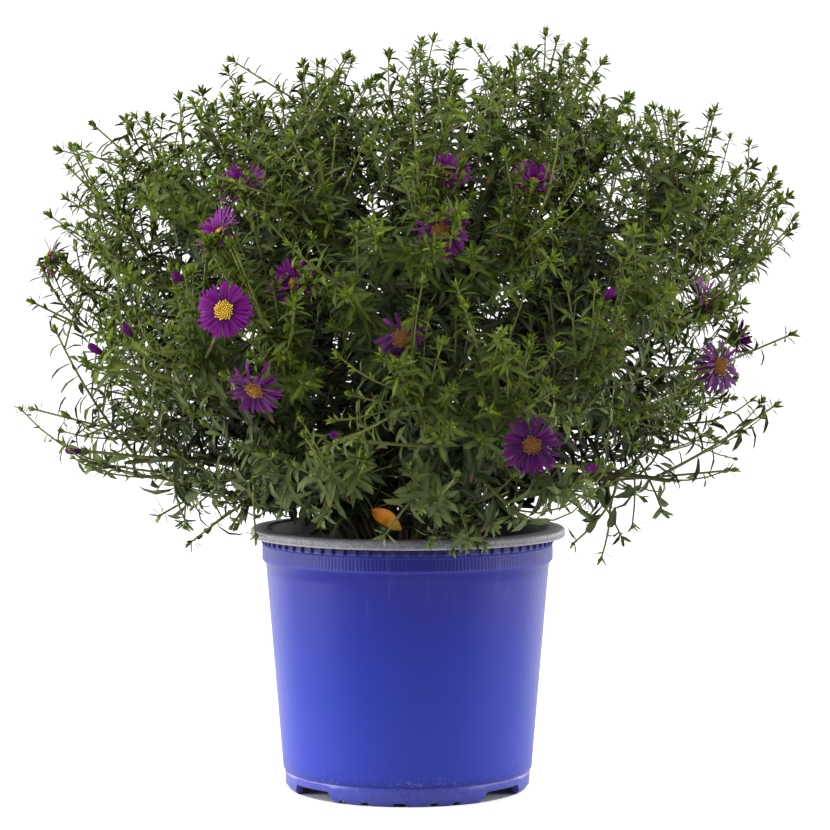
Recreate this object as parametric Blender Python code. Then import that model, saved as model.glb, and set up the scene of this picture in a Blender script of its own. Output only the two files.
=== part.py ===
"""Potted aster: a branching perennial in a blue nursery pot.

Metres, +Z up, the front of the pot towards -Y, the origin under the middle of the pot.
The plant is grown by rule. Main stems stand in holes in the soil and fan out over a dome,
twigs leave them for tips spread evenly over that dome, and leaves are raised from the faces
of both. Whatever would touch another stem or a bloom is turned, shortened or left out.
"""
import math

import bmesh
import bpy
import numpy as np
from mathutils.bvhtree import BVHTree

# Pot: a turned plastic shell with a foot ring, a ribbed band and a separate grey lip
SIDES = 44
GAP = 0.0003
FOOT_RADIUS = 0.0715
FOOT_WIDTH = 0.0025
FOOT_CHAMFER = (0.0735, 0.0026)
FOOT_TOP = (0.0740, 0.0113)
BASE_PLATE = (0.0068, 0.0082)
WALL = 0.0014
WALL_BOTTOM = (0.0750, 0.0126)
WALL_TOP = (0.0853, 0.1362)
BAND_RADIUS = 0.0878
BAND_BOTTOM = 0.0008
BAND = (0.1378, 0.1468)
NECK_RADIUS = 0.0868
RIM_UNDERSIDE = 0.1518
RIM_TOP = 0.1575
RIM_RADIUS = 0.0950
SLEEVE = (0.0846, 0.0856)
SLEEVE_BOTTOM = 0.1385

# Openings in the foot: four wide notches, and small bites along its lower edge
NOTCH_MIDDLES = (-141.0, -39.0, 39.0, 141.0)
NOTCH_HALF_ANGLES = (14.5, 11.5)
NOTCH_HEIGHT = 0.0064
CUT_RADII = (0.063, 0.082)
BITE_ANGLES = (-121.5, -110.0, -93.5, -77.6, -66.9, 68.0, 79.5, 96.0, 112.0, -6.0, 7.0, 173.0, 186.0)
BITE_SIZE = (0.0036, 0.0023)
DRAIN_RADIUS = 0.005
DRAIN_DISTANCE = 0.056

# Soil: its edge, its low mound and the depth of the stem holes
SOIL_EDGE = 0.1400
SOIL_TOP = 0.1460
HOLE_BOTTOM = 0.1180

# Plant: the dome that the tips reach, as angles from straight up and distances from the crown
SEED = 8
CROWN = np.array((0.0, 0.0, 0.150))
REACH_ANGLES = (0, 20, 40, 50, 60, 70, 80, 90, 100)
REACHES = (0.300, 0.303, 0.312, 0.294, 0.262, 0.234, 0.172, 0.140, 0.120)
GOLDEN_ANGLE = math.radians(137.508)
WIDEST = 0.229
CLEAR = 0.006
BETWEEN = 0.0009

# Main stems, each as long as a share of the dome's reach
STEM_COUNT = 20
STEM_LENGTH = 0.86
STEM_SPREAD = math.radians(80)
STEM_BASES = (0.004, 0.040)
STEM_RADII = (0.0023, 0.0013)
STEM_STRETCH = 0.0170

# Twigs: how many there are, and their rings as (distance from the root or the end, radius)
TWIG_COUNT = 112
TWIG_SPREAD = math.radians(93)
TWIG_ROOT = (0.0055, 0.0009)
TWIG_END = ((0.032, 0.0015), (0.0175, 0.0042), (0.0060, 0.0030))
COLLAR = (0.0045, 0.0018)
COLLAR_FROM = 0.056

# How a twig leaves its stem: along the stem, towards its tip and off the face, and how far it bends
LEAVE_WEIGHTS = (0.55, 0.75, 0.5)
TWIG_BEND = 0.42
TWIG_SHARES = (0.5, 0.62, 0.38, 0.75)

# Some tips sit deeper in the bush, and their twigs start lower
TIP_SCATTER = 0.03
DEEP_PORTION = 0.3
DEEP_REACH = (0.60, 0.78)
OUTER_REACH = (0.88, 0.96)
DEEP_SHARES = (0.3, 0.42, 0.2, 0.55)
SPRIG_POINT = 0.009
TWIG_POINT = 0.006

# Bare stalks under the blooms
STALK_RADIUS = 0.0009
STALK_SHARES = (0.62, 0.5, 0.75, 0.4, 0.85)

# Leaves: lengths low down, half-way and at the tips
LOW_LEAF = 0.030
LEAF = 0.023
TIP_LEAF = 0.0145
LEAF_THICKNESS = 0.0009
LOW_LEAF_WIDTH = 0.0052
LOW_LEAF_EVERY = 6
LEAF_EVERY = 3
TOP_STRETCHES = 2
STEM_LEAF_VARIATION = (0.8, 1.1)
EDGE_ROD = 0.0005
LONG_FOOT = 0.0040
LEAF_FOOT = 0.3
LEAF_VARIATION = (0.85, 1.15)
LEAF_STAND = (0.92, 1.15)
TIP_STAND = (0.55, 0.80)
LEAF_TRIES = (1.0, 0.66)

# Numbers that mark who has claimed a place: stems count from 0, stalks and twigs from here on
FIRST_OWNER = 100
WITHERED_OWNER = 99

# Sprigs that stand out of the dome, by the place of their tips
SPRIGS = (
    (-0.234, 0.010, 0.297), (-0.231, -0.020, 0.232), (-0.196, -0.060, 0.203),
    (-0.152, -0.060, 0.170), (0.240, 0.010, 0.277), (0.226, -0.030, 0.235),
    (0.200, -0.040, 0.196), (0.136, -0.030, 0.153), (0.224, -0.030, 0.367),
    (-0.211, 0.020, 0.380), (-0.190, -0.030, 0.404), (0.004, 0.010, 0.450),
    (0.092, 0.000, 0.4575), (0.060, -0.237, 0.272), (-0.030, 0.237, 0.280),
    (0.120, 0.060, 0.436),
)

# Open blooms: centre, yaw and lift of the way they face in degrees, ray length, ray angle from the axis
OPEN_BLOOMS = (
    (-0.096, -0.207, 0.290, -98, 8, 0.0110, 86),
    (0.018, -0.202, 0.331, -92, 25, 0.0112, 80),
    (-0.003, -0.215, 0.276, -84, -5, 0.0100, 122),
    (-0.080, -0.205, 0.249, -112, -38, 0.0112, 78),
    (0.066, -0.208, 0.219, -84, 4, 0.0118, 88),
    (0.172, -0.139, 0.258, -52, 6, 0.0108, 84),
    (0.108, 0.186, 0.300, 62, 12, 0.0112, 86),
    (-0.126, 0.170, 0.272, 125, 5, 0.0112, 84),
    (-0.010, 0.166, 0.372, 95, 45, 0.0108, 82),
    (-0.218, 0.030, 0.318, 172, 20, 0.0108, 84),
)

# Half-open blooms, with no disc in sight
CUP_BLOOMS = (
    (-0.100, -0.172, 0.331, -140, 30, 0.0112, 62),
    (-0.090, -0.150, 0.357, -110, 42, 0.0104, 58),
    (0.022, -0.166, 0.362, -80, 48, 0.0100, 56),
    (0.068, -0.172, 0.358, -70, 42, 0.0096, 52),
    (0.166, -0.112, 0.294, -30, 22, 0.0112, 60),
    (-0.060, -0.180, 0.304, -112, 20, 0.0096, 60),
    (0.205, 0.070, 0.268, 20, 15, 0.0104, 60),
)

# Coloured buds: centre, yaw and lift
BUDS = (
    (-0.168, -0.147, 0.266, -142, 30),
    (-0.150, -0.158, 0.276, -118, 35),
    (0.106, -0.196, 0.296, -62, 35),
    (-0.120, -0.184, 0.305, -122, 30),
    (-0.037, -0.214, 0.224, -102, 10),
    (0.097, -0.176, 0.205, -60, 0),
    (-0.187, -0.084, 0.208, -156, 5),
    (0.040, 0.214, 0.238, 82, 15),
)

OPEN_RAYS = 13
CUP_RAYS = 9
RAY_WIDTH = 0.0029
RAY_THICKNESS = 0.0007
HUB_RADIUS = 0.0046
HUB_HEIGHT = 0.0010
TIER = 0.0008
DISC_RADIUS = 0.0050
DISC_HEIGHT = 0.0031
CUP_HEIGHT = 0.0050
CUP_RADIUS = 0.0036
BUD_LENGTH = 0.0095
BUD_RADIUS = 0.0027
RAY_CLAIM = 0.0032
BUD_CLAIM = 0.0040

# The one yellow, withered leaf that hangs over the soil in front
YELLOW_LEAF_TOP = np.array((-0.020, -0.098, 0.1755))
YELLOW_LEAF_TIP = np.array((-0.003, -0.0985, 0.1640))
YELLOW_LEAF_WIDTH = 0.0082
YELLOW_LEAF_THICKNESS = 0.0010
YELLOW_LEAF_BOW = 0.004
YELLOW_LEAF_OUTLINE = ((0.0, 0.14), (0.3, 0.75), (0.6, 1.0), (0.85, 0.6))


def srgb(red, green, blue):
    """A colour from its 0-255 values, made linear."""
    return tuple((value / 255) ** 2.2 for value in (red, green, blue)) + (1.0,)


def material(name, colour, roughness, metallic=0.0):
    finish = bpy.data.materials.new(name)
    finish.use_nodes = True
    shader = finish.node_tree.nodes["Principled BSDF"]
    shader.inputs["Base Color"].default_value = colour
    shader.inputs["Roughness"].default_value = roughness
    shader.inputs["Metallic"].default_value = metallic
    finish.diffuse_color = colour
    return finish


def add_piece(name, mesh, finish):
    piece = bpy.data.objects.new(name, mesh)
    bpy.context.scene.collection.objects.link(piece)
    if finish is not None:
        mesh.materials.append(finish)
    return piece


def add_object(name, points, faces, finish):
    mesh = bpy.data.meshes.new(name)
    mesh.from_pydata([tuple(map(float, point)) for point in points], [], faces)
    mesh.update()
    return add_piece(name, mesh, finish)


# Turned pieces

def turned_piece(name, profile, finish, closed):
    """Spin a profile of (radius, height) points round the pot's axis.

    A closed profile makes a ring. An open one starts and ends on the axis.
    """
    shape = bmesh.new()
    corners = [shape.verts.new((radius, 0.0, height)) for radius, height in profile]
    edges = [shape.edges.new(pair) for pair in zip(corners, corners[1:])]
    if closed:
        edges.append(shape.edges.new((corners[-1], corners[0])))
    turn = 2 * math.pi
    bmesh.ops.spin(shape, geom=corners + edges, cent=(0, 0, 0), axis=(0, 0, 1), angle=turn, steps=SIDES)
    bmesh.ops.remove_doubles(shape, verts=shape.verts, dist=0.00001)
    bmesh.ops.recalc_face_normals(shape, faces=shape.faces)
    mesh = bpy.data.meshes.new(name)
    shape.to_mesh(mesh)
    shape.free()
    mesh.shade_smooth()
    mesh.set_sharp_from_angle(angle=math.radians(35))
    return add_piece(name, mesh, finish)


def wall_radius(height):
    """Outer radius of the tapered wall at a height."""
    (low_radius, low), (high_radius, high) = WALL_BOTTOM, WALL_TOP
    return low_radius + (high_radius - low_radius) * (height - low) / (high - low)


def pot_profile():
    plate_under, plate_top = BASE_PLATE
    inner_top = WALL_TOP[0] - WALL
    recess = SLEEVE[1] + GAP
    return (
        (0.0, plate_under),
        (FOOT_RADIUS - FOOT_WIDTH, plate_under),
        (FOOT_RADIUS - FOOT_WIDTH, 0.0),
        (FOOT_RADIUS, 0.0),
        FOOT_CHAMFER,
        FOOT_TOP,
        WALL_BOTTOM,
        WALL_TOP,
        (BAND_RADIUS - BAND_BOTTOM, BAND[0]),
        (BAND_RADIUS, BAND[1]),
        (NECK_RADIUS, BAND[1] + 0.0006),
        (NECK_RADIUS, RIM_UNDERSIDE - GAP),
        (recess, RIM_UNDERSIDE - GAP),
        (recess, SLEEVE_BOTTOM - GAP),
        (inner_top, WALL_TOP[1] - 0.0004),
        (wall_radius(plate_top) - WALL, plate_top),
        (0.0, plate_top),
    )


def lip_profile():
    inner, outer = SLEEVE
    return (
        (inner, SLEEVE_BOTTOM),
        (outer, SLEEVE_BOTTOM),
        (outer, RIM_UNDERSIDE),
        (RIM_RADIUS - 0.0008, RIM_UNDERSIDE),
        (RIM_RADIUS, RIM_UNDERSIDE + 0.0013),
        (RIM_RADIUS - 0.0001, RIM_TOP - 0.0016),
        (RIM_RADIUS - 0.0014, RIM_TOP),
        (inner + 0.0016, RIM_TOP),
        (inner, RIM_TOP - 0.0016),
    )


def soil_profile():
    under = BASE_PLATE[1] + GAP
    side = WALL_TOP[0] - WALL - 2 * GAP
    return (
        (0.0, under),
        (wall_radius(under) - WALL - 2 * GAP, under),
        (side, WALL_TOP[1] - 0.001),
        (side, SOIL_EDGE),
        (0.055, SOIL_TOP - 0.0016),
        (0.0, SOIL_TOP),
    )


def cutter(name, solids):
    """Six-sided cutting solids in one object, each given by its lower four and upper four corners."""
    points = []
    faces = []
    for corners in solids:
        first = len(points)
        points.extend(corners)
        faces.append((first + 3, first + 2, first + 1, first))
        faces.append((first + 4, first + 5, first + 6, first + 7))
        for side in range(4):
            after = (side + 1) % 4
            faces.append((first + side, first + after, first + 4 + after, first + 4 + side))
    tool = add_object(name, points, faces, None)
    tool.hide_render = True
    tool.display_type = "WIRE"
    return tool


def cut(piece, tool):
    modifier = piece.modifiers.new("cut", "BOOLEAN")
    modifier.operation = "DIFFERENCE"
    modifier.object = tool


def polar(radius, degrees, height):
    angle = math.radians(degrees)
    return (radius * math.cos(angle), radius * math.sin(angle), height)


def foot_cuts():
    """Wide notches with sloped ends, and the small bites between them."""
    near, far = CUT_RADII
    below = -0.002
    solids = []
    for middle in NOTCH_MIDDLES:
        low, high = NOTCH_HALF_ANGLES
        solids.append([
            polar(near, middle - low, below), polar(far, middle - low, below),
            polar(far, middle + low, below), polar(near, middle + low, below),
            polar(near, middle - high, NOTCH_HEIGHT), polar(far, middle - high, NOTCH_HEIGHT),
            polar(far, middle + high, NOTCH_HEIGHT), polar(near, middle + high, NOTCH_HEIGHT),
        ])
    width, height = BITE_SIZE
    for middle in BITE_ANGLES:
        half = math.degrees(0.5 * width / FOOT_RADIUS)
        top = 0.6 * half
        solids.append([
            polar(near, middle - half, below), polar(far, middle - half, below),
            polar(far, middle + half, below), polar(near, middle + half, below),
            polar(near, middle - top, height), polar(far, middle - top, height),
            polar(far, middle + top, height), polar(near, middle + top, height),
        ])
    return solids


def upright_box(x, y, half, bottom, top):
    corners = [(x - half, y - half), (x + half, y - half), (x + half, y + half), (x - half, y + half)]
    return [(*corner, bottom) for corner in corners] + [(*corner, top) for corner in corners]


def drain_cuts():
    solids = []
    for middle in NOTCH_MIDDLES:
        x, y, _ = polar(DRAIN_DISTANCE, middle, 0.0)
        bottom, top = BASE_PLATE
        solids.append(upright_box(x, y, DRAIN_RADIUS, bottom - 0.001, top + 0.001))
    return solids


def build_pot(blue, grey):
    pot = turned_piece("pot", pot_profile(), blue, closed=False)
    cut(pot, cutter("foot_cutter", foot_cuts() + drain_cuts()))
    turned_piece("pot_lip", lip_profile(), grey, closed=True)


def build_soil(dark, bases):
    soil = turned_piece("soil", soil_profile(), dark, closed=False)
    half = STEM_RADII[0] + 1.5 * GAP
    holes = [upright_box(base[0], base[1], half, HOLE_BOTTOM, CROWN[2] + 0.005) for base in bases]
    cut(soil, cutter("hole_cutter", holes))


# Space: what has grown already, as round-ended rods

def unit(vector):
    return vector / np.linalg.norm(vector)


def rod_distances(start, end, starts, ends):
    """Shortest distances from one rod's middle line to many others."""
    run = end - start
    runs = ends - starts
    apart = start - starts
    own = run @ run
    other = np.maximum((runs * runs).sum(1), 1e-12)
    along = (runs * apart).sum(1)
    cross = runs @ run
    back = apart @ run
    first = np.clip((cross * along - back * other) / np.maximum(own * other - cross * cross, 1e-16), 0, 1)
    second = np.clip((cross * first + along) / other, 0, 1)
    first = np.clip((cross * second - back) / own, 0, 1)
    gaps = start + first[:, None] * run - starts - second[:, None] * runs
    return np.sqrt((gaps * gaps).sum(1))


class Space:
    """Rods with a start, an end, a radius and the number of the twig, stem or bloom they belong to."""

    def __init__(self, room=30000):
        self.starts = np.zeros((room, 3))
        self.ends = np.zeros((room, 3))
        self.middles = np.zeros((room, 3))
        self.spans = np.zeros(room)
        self.radii = np.zeros(room)
        self.twigs = np.zeros(room, int)
        self.count = 0

    def add(self, start, end, radius, twig):
        self.starts[self.count] = start
        self.ends[self.count] = end
        self.middles[self.count] = 0.5 * (start + end)
        self.spans[self.count] = 0.5 * np.linalg.norm(end - start) + radius
        self.radii[self.count] = radius
        self.twigs[self.count] = twig
        self.count += 1

    def free(self, start, end, radius, *allowed):
        """True where a rod keeps clear of all rods but those of the twigs allowed to touch it."""
        used = slice(0, self.count)
        apart = self.middles[used] - 0.5 * (start + end)
        span = 0.5 * np.linalg.norm(end - start) + radius + BETWEEN
        near = np.flatnonzero((apart * apart).sum(1) < (self.spans[used] + span) ** 2)
        near = near[~np.isin(self.twigs[near], allowed)]
        if len(near) == 0:
            return True
        gaps = rod_distances(start, end, self.starts[near], self.ends[near])
        return bool((gaps > self.radii[near] + radius + BETWEEN).all())


# Growing surfaces

class Shoot:
    """A closed surface of three-cornered faces that grows ring by ring."""

    def __init__(self, centre, axis, radius):
        self.points = []
        self.faces = []
        side = unit(np.cross(axis, (0.3, 1.0, 0.2)))
        other = np.cross(axis, side)
        for corner in range(3):
            angle = 2 * math.pi * corner / 3
            self.points.append(centre + radius * (math.cos(angle) * side + math.sin(angle) * other))
        self.ring = (0, 1, 2)
        self.faces.append((0, 2, 1))

    def middle(self, face):
        return np.mean([self.points[corner] for corner in self.faces[face]], axis=0)

    def normal(self, face):
        first, second, third = (self.points[corner] for corner in self.faces[face])
        return unit(np.cross(second - first, third - first))

    def raise_ring(self, base, centre, axis, radius):
        """Three corners above a base of three, a sixth of a turn on, with six faces between."""
        corners = np.array([self.points[corner] for corner in base])
        across = corners - corners.mean(axis=0)
        side = unit(np.cross(axis, (0.3, 1.0, 0.2)))
        other = np.cross(axis, side)
        place = (across @ side) + 1j * (across @ other)
        turns = 2 * math.pi * np.arange(3) / 3
        first = np.angle((place * np.exp(-1j * turns)).sum()) + math.pi / 3
        start = len(self.points)
        for turn in turns:
            angle = first + turn
            self.points.append(centre + radius * (math.cos(angle) * side + math.sin(angle) * other))
        ring = (start, start + 1, start + 2)
        stretch = []
        for corner in range(3):
            after = (corner + 1) % 3
            stretch.append(len(self.faces))
            self.faces.append((base[corner], base[after], ring[corner]))
            stretch.append(len(self.faces))
            self.faces.append((base[after], ring[after], ring[corner]))
        return ring, stretch

    def grow(self, base, path, radii):
        """Carry rings along a path. Returns the last ring and the faces of each stretch."""
        stretches = []
        ends = np.vstack((path[1:], [2 * path[-1] - path[-2]]))
        for place, after, radius in zip(path, ends, radii):
            base, stretch = self.raise_ring(base, place, unit(after - place), radius)
            stretches.append(stretch)
        return base, stretches

    def close(self, ring):
        self.faces.append(tuple(ring))
        return len(self.faces) - 1

    def take(self, face):
        """Remove a face, and return its corners as the base of what grows there."""
        base = self.faces[face]
        self.faces[face] = None
        return base

    def spike(self, face, tip):
        first, second, third = self.take(face)
        self.points.append(np.array(tip))
        last = len(self.points) - 1
        self.faces.extend(((first, second, last), (second, third, last), (third, first, last)))

    def blade(self, face, tip, width):
        """A long leaf with its widest place near its middle."""
        start = self.middle(face)
        run = tip - start
        axis = unit(run)
        normal = self.normal(face)
        across = unit(np.cross(axis, normal))
        under = np.cross(axis, across)
        widest = start + 0.5 * run
        half = 0.5 * width * across
        flat = [widest + half, widest - half, widest + LEAF_THICKNESS * under]
        base = self.take(face)
        corners = np.array([self.points[corner] for corner in base])
        spread = corners - corners.mean(axis=0)
        order = (0, 1, 2) if np.cross(flat[1] - flat[0], flat[2] - flat[0]) @ axis > 0 else (1, 0, 2)
        flat = [flat[index] for index in order]
        matches = []
        for turn in range(3):
            turned = flat[turn:] + flat[:turn]
            matches.append(sum((spread[index] @ (turned[index] - widest)) for index in range(3)))
        turn = int(np.argmax(matches))
        first = len(self.points)
        self.points.extend(flat[turn:] + flat[:turn])
        ring = (first, first + 1, first + 2)
        for corner in range(3):
            after = (corner + 1) % 3
            self.faces.append((base[corner], base[after], ring[after]))
            self.faces.append((base[corner], ring[after], ring[corner]))
        self.spike(self.close(ring), tip)


# The plant's plan

def reach(direction):
    """Distance from the crown to the dome's outside in a direction."""
    angle = math.degrees(math.acos(np.clip(direction[2], -1, 1)))
    return float(np.interp(angle, REACH_ANGLES, REACHES))


def dome_directions(count, spread):
    """Directions spread evenly over the dome, each a golden angle on from the last."""
    directions = []
    for index in range(count):
        height = 1 - (index + 0.5) / count * (1 - math.cos(spread))
        flat = math.sqrt(1 - height * height)
        turn = index * GOLDEN_ANGLE + 0.4
        directions.append(np.array((flat * math.cos(turn), flat * math.sin(turn), height)))
    return directions


def curve(start, bend, end, shares):
    """Places along a curve that leaves its start towards the bend and ends coming from it."""
    shares = np.asarray(shares)[:, None]
    return (1 - shares) ** 2 * start + 2 * shares * (1 - shares) * bend + shares ** 2 * end


def facing(yaw, lift):
    yaw, lift = math.radians(yaw), math.radians(lift)
    return np.array((math.cos(lift) * math.cos(yaw), math.cos(lift) * math.sin(yaw), math.sin(lift)))


class Stem:
    """A main stem: its surface, the places of its rings and the faces between them."""

    def __init__(self, number, direction):
        self.number = number
        self.direction = direction
        angle = math.acos(direction[2])
        share = angle / STEM_SPREAD
        outward = unit(np.array((direction[0], direction[1], 0.0)))
        self.base = (STEM_BASES[0] + (STEM_BASES[1] - STEM_BASES[0]) * share) * outward
        foot = self.base + np.array((0.0, 0.0, HOLE_BOTTOM + GAP))
        ground = self.base + np.array((0.0, 0.0, CROWN[2]))
        tip = CROWN + direction * reach(direction) * STEM_LENGTH
        chord = np.linalg.norm(tip - ground)
        rise = unit(np.array((0.0, 0.0, 1.0)) + unit(tip - ground))
        steps = int(chord / STEM_STRETCH)
        shares = np.linspace(0, 1, steps + 1)
        self.path = curve(ground, ground + 0.5 * chord * rise, tip, shares)
        radii = np.linspace(STEM_RADII[0], STEM_RADII[1], steps + 1)
        self.shoot = Shoot(foot, np.array((0.0, 0.0, 1.0)), STEM_RADII[0])
        ring, self.stretches = self.shoot.grow((0, 1, 2), self.path, radii)
        self.end = self.shoot.close(ring)
        self.stretches = self.stretches[1:]

    def fill(self, space):
        for start, end in zip(self.path, self.path[1:]):
            space.add(start, end, STEM_RADII[0], self.number)

    def root_for(self, target, share):
        """The free face that looks most towards a target, near a share of the stem's length."""
        wanted = share * len(self.stretches)
        best, best_score = None, 0.0
        for index, stretch in enumerate(self.stretches):
            away = abs(index - wanted)
            if away > 3.5:
                continue
            for face in stretch:
                if self.shoot.faces[face] is None:
                    continue
                look = unit(target - self.shoot.middle(face))
                score = look @ self.shoot.normal(face) - 0.12 * away
                if score > best_score:
                    best, best_score = (index, face), score
        return best


def twig_rings(length):
    """A twig's rings as (share of its length, radius), with a collar half-way on a long one."""
    rings = [(TWIG_ROOT[0] / length, TWIG_ROOT[1])]
    if length > COLLAR_FROM:
        half, radius = COLLAR
        middle = 0.5 * (length - TWIG_END[0][0])
        rings += [((middle - half) / length, 0.8 * radius), ((middle + half) / length, radius)]
    rings += [(1 - back / length, radius) for back, radius in TWIG_END]
    return rings


def twig_places(stem, index, face, target, shares):
    """Ring places of a twig that leaves a stem's face and bends up towards its target."""
    start = stem.shoot.middle(face)
    along = unit(stem.path[index + 1] - stem.path[index])
    chord = np.linalg.norm(target - start)
    forward, inward, off = LEAVE_WEIGHTS
    leave = unit(forward * along + inward * unit(target - start) + off * stem.shoot.normal(face))
    bend = start + TWIG_BEND * chord * leave
    return curve(start, bend, target, tuple(shares) + (1.0,))


def path_rods(root, path, radii):
    """The rods that a twig or a stalk fills, each as wide as the wider of its two rings."""
    places = [root, *path]
    widths = [radii[0], *radii, radii[-1]]
    return [(start, end, max(first, second))
            for start, end, first, second in zip(places, places[1:], widths, widths[1:])]


def path_free(space, rods, twig, stem):
    """Whether a path finds room. Its root and its first stretch may come near their own stem."""
    allowed = [(twig, stem.number), (twig, stem.number)] + [(twig,)] * (len(rods) - 2)
    return all(space.free(*rod, *own) for rod, own in zip(rods, allowed))


def above_pot(point):
    """True where a point keeps clear of the pot and of the soil."""
    distance = math.hypot(point[0], point[1])
    if distance < SLEEVE[0] - CLEAR:
        return point[2] > SOIL_TOP + CLEAR
    return point[2] > RIM_TOP + CLEAR or distance > RIM_RADIUS + CLEAR


def nearest_stems(stems, direction, count):
    order = sorted(stems, key=lambda stem: -float(stem.direction @ direction))
    return order[:count]


def grow_twig(space, stems, target, owner, deep):
    """Grow one twig to a target from the best placed stem, or return None."""
    direction = unit(target - CROWN)
    for stem in nearest_stems(stems, direction, 3):
        for share in DEEP_SHARES if deep else TWIG_SHARES:
            root = stem.root_for(target, share)
            if root is None:
                continue
            length = np.linalg.norm(target - stem.shoot.middle(root[1]))
            if length < TWIG_END[0][0] + 2 * TWIG_ROOT[0]:
                continue
            rings = twig_rings(length)
            path = twig_places(stem, root[0], root[1], target, [share for share, _ in rings])
            if not all(above_pot(place) for place in path):
                continue
            radii = [radius for _, radius in rings]
            rods = path_rods(stem.shoot.middle(root[1]), path, radii)
            if not path_free(space, rods, owner, stem):
                continue
            base = stem.shoot.take(root[1])
            ring, stretches = stem.shoot.grow(base, path[:-1], radii)
            for rod in rods[1:]:
                space.add(*rod, owner)
            return stem, path, ring, stretches
    return None


def grow_stalk(space, stems, centre, look, owner):
    """A bare stalk that carries a bloom and ends in a small green cup. Returns False without room."""
    base_of_cup = centre - look * (CUP_HEIGHT + GAP)
    direction = unit(centre - CROWN)
    for stem in nearest_stems(stems, direction, 4):
        for share in STALK_SHARES:
            root = stem.root_for(base_of_cup, share)
            if root is None:
                continue
            path = twig_places(stem, root[0], root[1], base_of_cup - 0.006 * look, (0.15, 0.4, 0.7))
            path = np.vstack((path, [base_of_cup]))
            radii = [STALK_RADIUS] * len(path)
            rods = path_rods(stem.shoot.middle(root[1]), path, radii)
            if not path_free(space, rods, owner, stem):
                continue
            base = stem.shoot.take(root[1])
            ring, _ = stem.shoot.grow(base, path, radii)
            ring, _ = stem.shoot.raise_ring(ring, centre - look * GAP, look, CUP_RADIUS)
            stem.shoot.close(ring)
            for rod in rods[1:]:
                space.add(*rod, owner)
            return True
    return False


def claim_bloom(space, centre, look, owner, length, angle):
    """Rods over a bloom's rays, so that nothing else grows there."""
    side = unit(np.cross(look, (0.1, 0.2, 1.0)))
    other = np.cross(look, side)
    lean = math.radians(angle)
    reach_out = HUB_RADIUS + length
    for turn in np.linspace(0, 2 * math.pi, 9)[:-1]:
        out = math.cos(turn) * side + math.sin(turn) * other
        end = centre + reach_out * (math.sin(lean) * out + math.cos(lean) * look)
        space.add(centre, end, RAY_CLAIM, owner)
    space.add(centre - look * CUP_HEIGHT, centre + look * (HUB_HEIGHT + DISC_HEIGHT), CUP_RADIUS, owner)


def leaf_tip(shoot, face, along, length, stand):
    """Tip of a leaf that stands off its shoot and points forward along it."""
    normal = shoot.normal(face)
    out = unit(normal - (normal @ along) * along)
    return shoot.middle(face) + length * unit(math.sin(stand) * out + math.cos(stand) * along)


def leaf_rods(shoot, face, end, width):
    """The rods that a leaf fills: its three edges, more along a long foot, and the middle of a blade."""
    corners = [shoot.points[corner] for corner in shoot.faces[face]]
    rods = [(corner, end, EDGE_ROD) for corner in corners]
    for first, second in zip(corners, corners[1:] + corners[:1]):
        between = int(np.linalg.norm(second - first) / LONG_FOOT)
        shares = [(step + 1) / (between + 1) for step in range(between)]
        rods += [(first + share * (second - first), end, EDGE_ROD) for share in shares]
    if width is not None:
        start = shoot.middle(face)
        rods.append((start + 0.3 * (end - start), start + 0.75 * (end - start), 0.5 * width))
    return rods


def add_leaf(space, stem, face, tip, owner, width=None, edge=False):
    """Raise a leaf where it finds room, shortening it once. Only a sprig's point may pass the edge."""
    shoot = stem.shoot
    start = shoot.middle(face)
    leaves = -1 - owner
    for share in LEAF_TRIES:
        end = start + share * (tip - start)
        places = [start + part * (end - start) for part in (0.25, 0.5, 0.75, 1.0)]
        if not edge and np.abs(end[:2]).max() > WIDEST or not all(above_pot(place) for place in places):
            continue
        rods = leaf_rods(shoot, face, end, width)
        fits = all(space.free(root, top, radius, owner, leaves, stem.number) for root, top, radius in rods)
        outer = [(root + LEAF_FOOT * (top - root), top, radius) for root, top, radius in rods]
        if fits and all(space.free(*rod, owner) for rod in outer):
            for root, top, radius in rods:
                space.add(root + 0.5 * LEAF_FOOT * (top - root), top, radius, leaves)
            if width is None:
                shoot.spike(face, end)
            else:
                shoot.blade(face, end, width)
            return True
    return False


def twig_targets(random):
    """Tips over the dome, most near its outside and some deeper down."""
    targets = []
    for index, direction in enumerate(dome_directions(TWIG_COUNT, TWIG_SPREAD)):
        direction = unit(direction + random.normal(0, TIP_SCATTER, 3))
        deep = random.random() < DEEP_PORTION
        share = random.uniform(*DEEP_REACH) if deep else random.uniform(*OUTER_REACH)
        target = CROWN + direction * reach(direction) * share
        target[:2] = np.clip(target[:2], -WIDEST + 0.004, WIDEST - 0.004)
        targets.append((target, deep))
    return targets


def dress_twig(space, random, stem, path, ring, stretches, owner, apex):
    """Leaves along the outer half of a twig, a rosette at its end and a point on top."""
    shoot = stem.shoot
    add_leaf(space, stem, shoot.close(ring), apex, owner, edge=True)
    last = len(stretches) - 1
    plan = [(last, TIP_LEAF, (0, 1, 2, 3, 4, 5), TIP_STAND), (last - 1, LEAF, (0, 2, 4), LEAF_STAND)]
    if last > 3:
        plan.append((2, LEAF, (1, 5), LEAF_STAND))
    for number, length, orders, stands in plan:
        along = unit(path[number + 1] - path[number - 1])
        for order in orders:
            face = stretches[number][order]
            stand = random.uniform(*stands)
            tip = leaf_tip(shoot, face, along, length * random.uniform(*LEAF_VARIATION), stand)
            add_leaf(space, stem, face, tip, owner)


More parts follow.
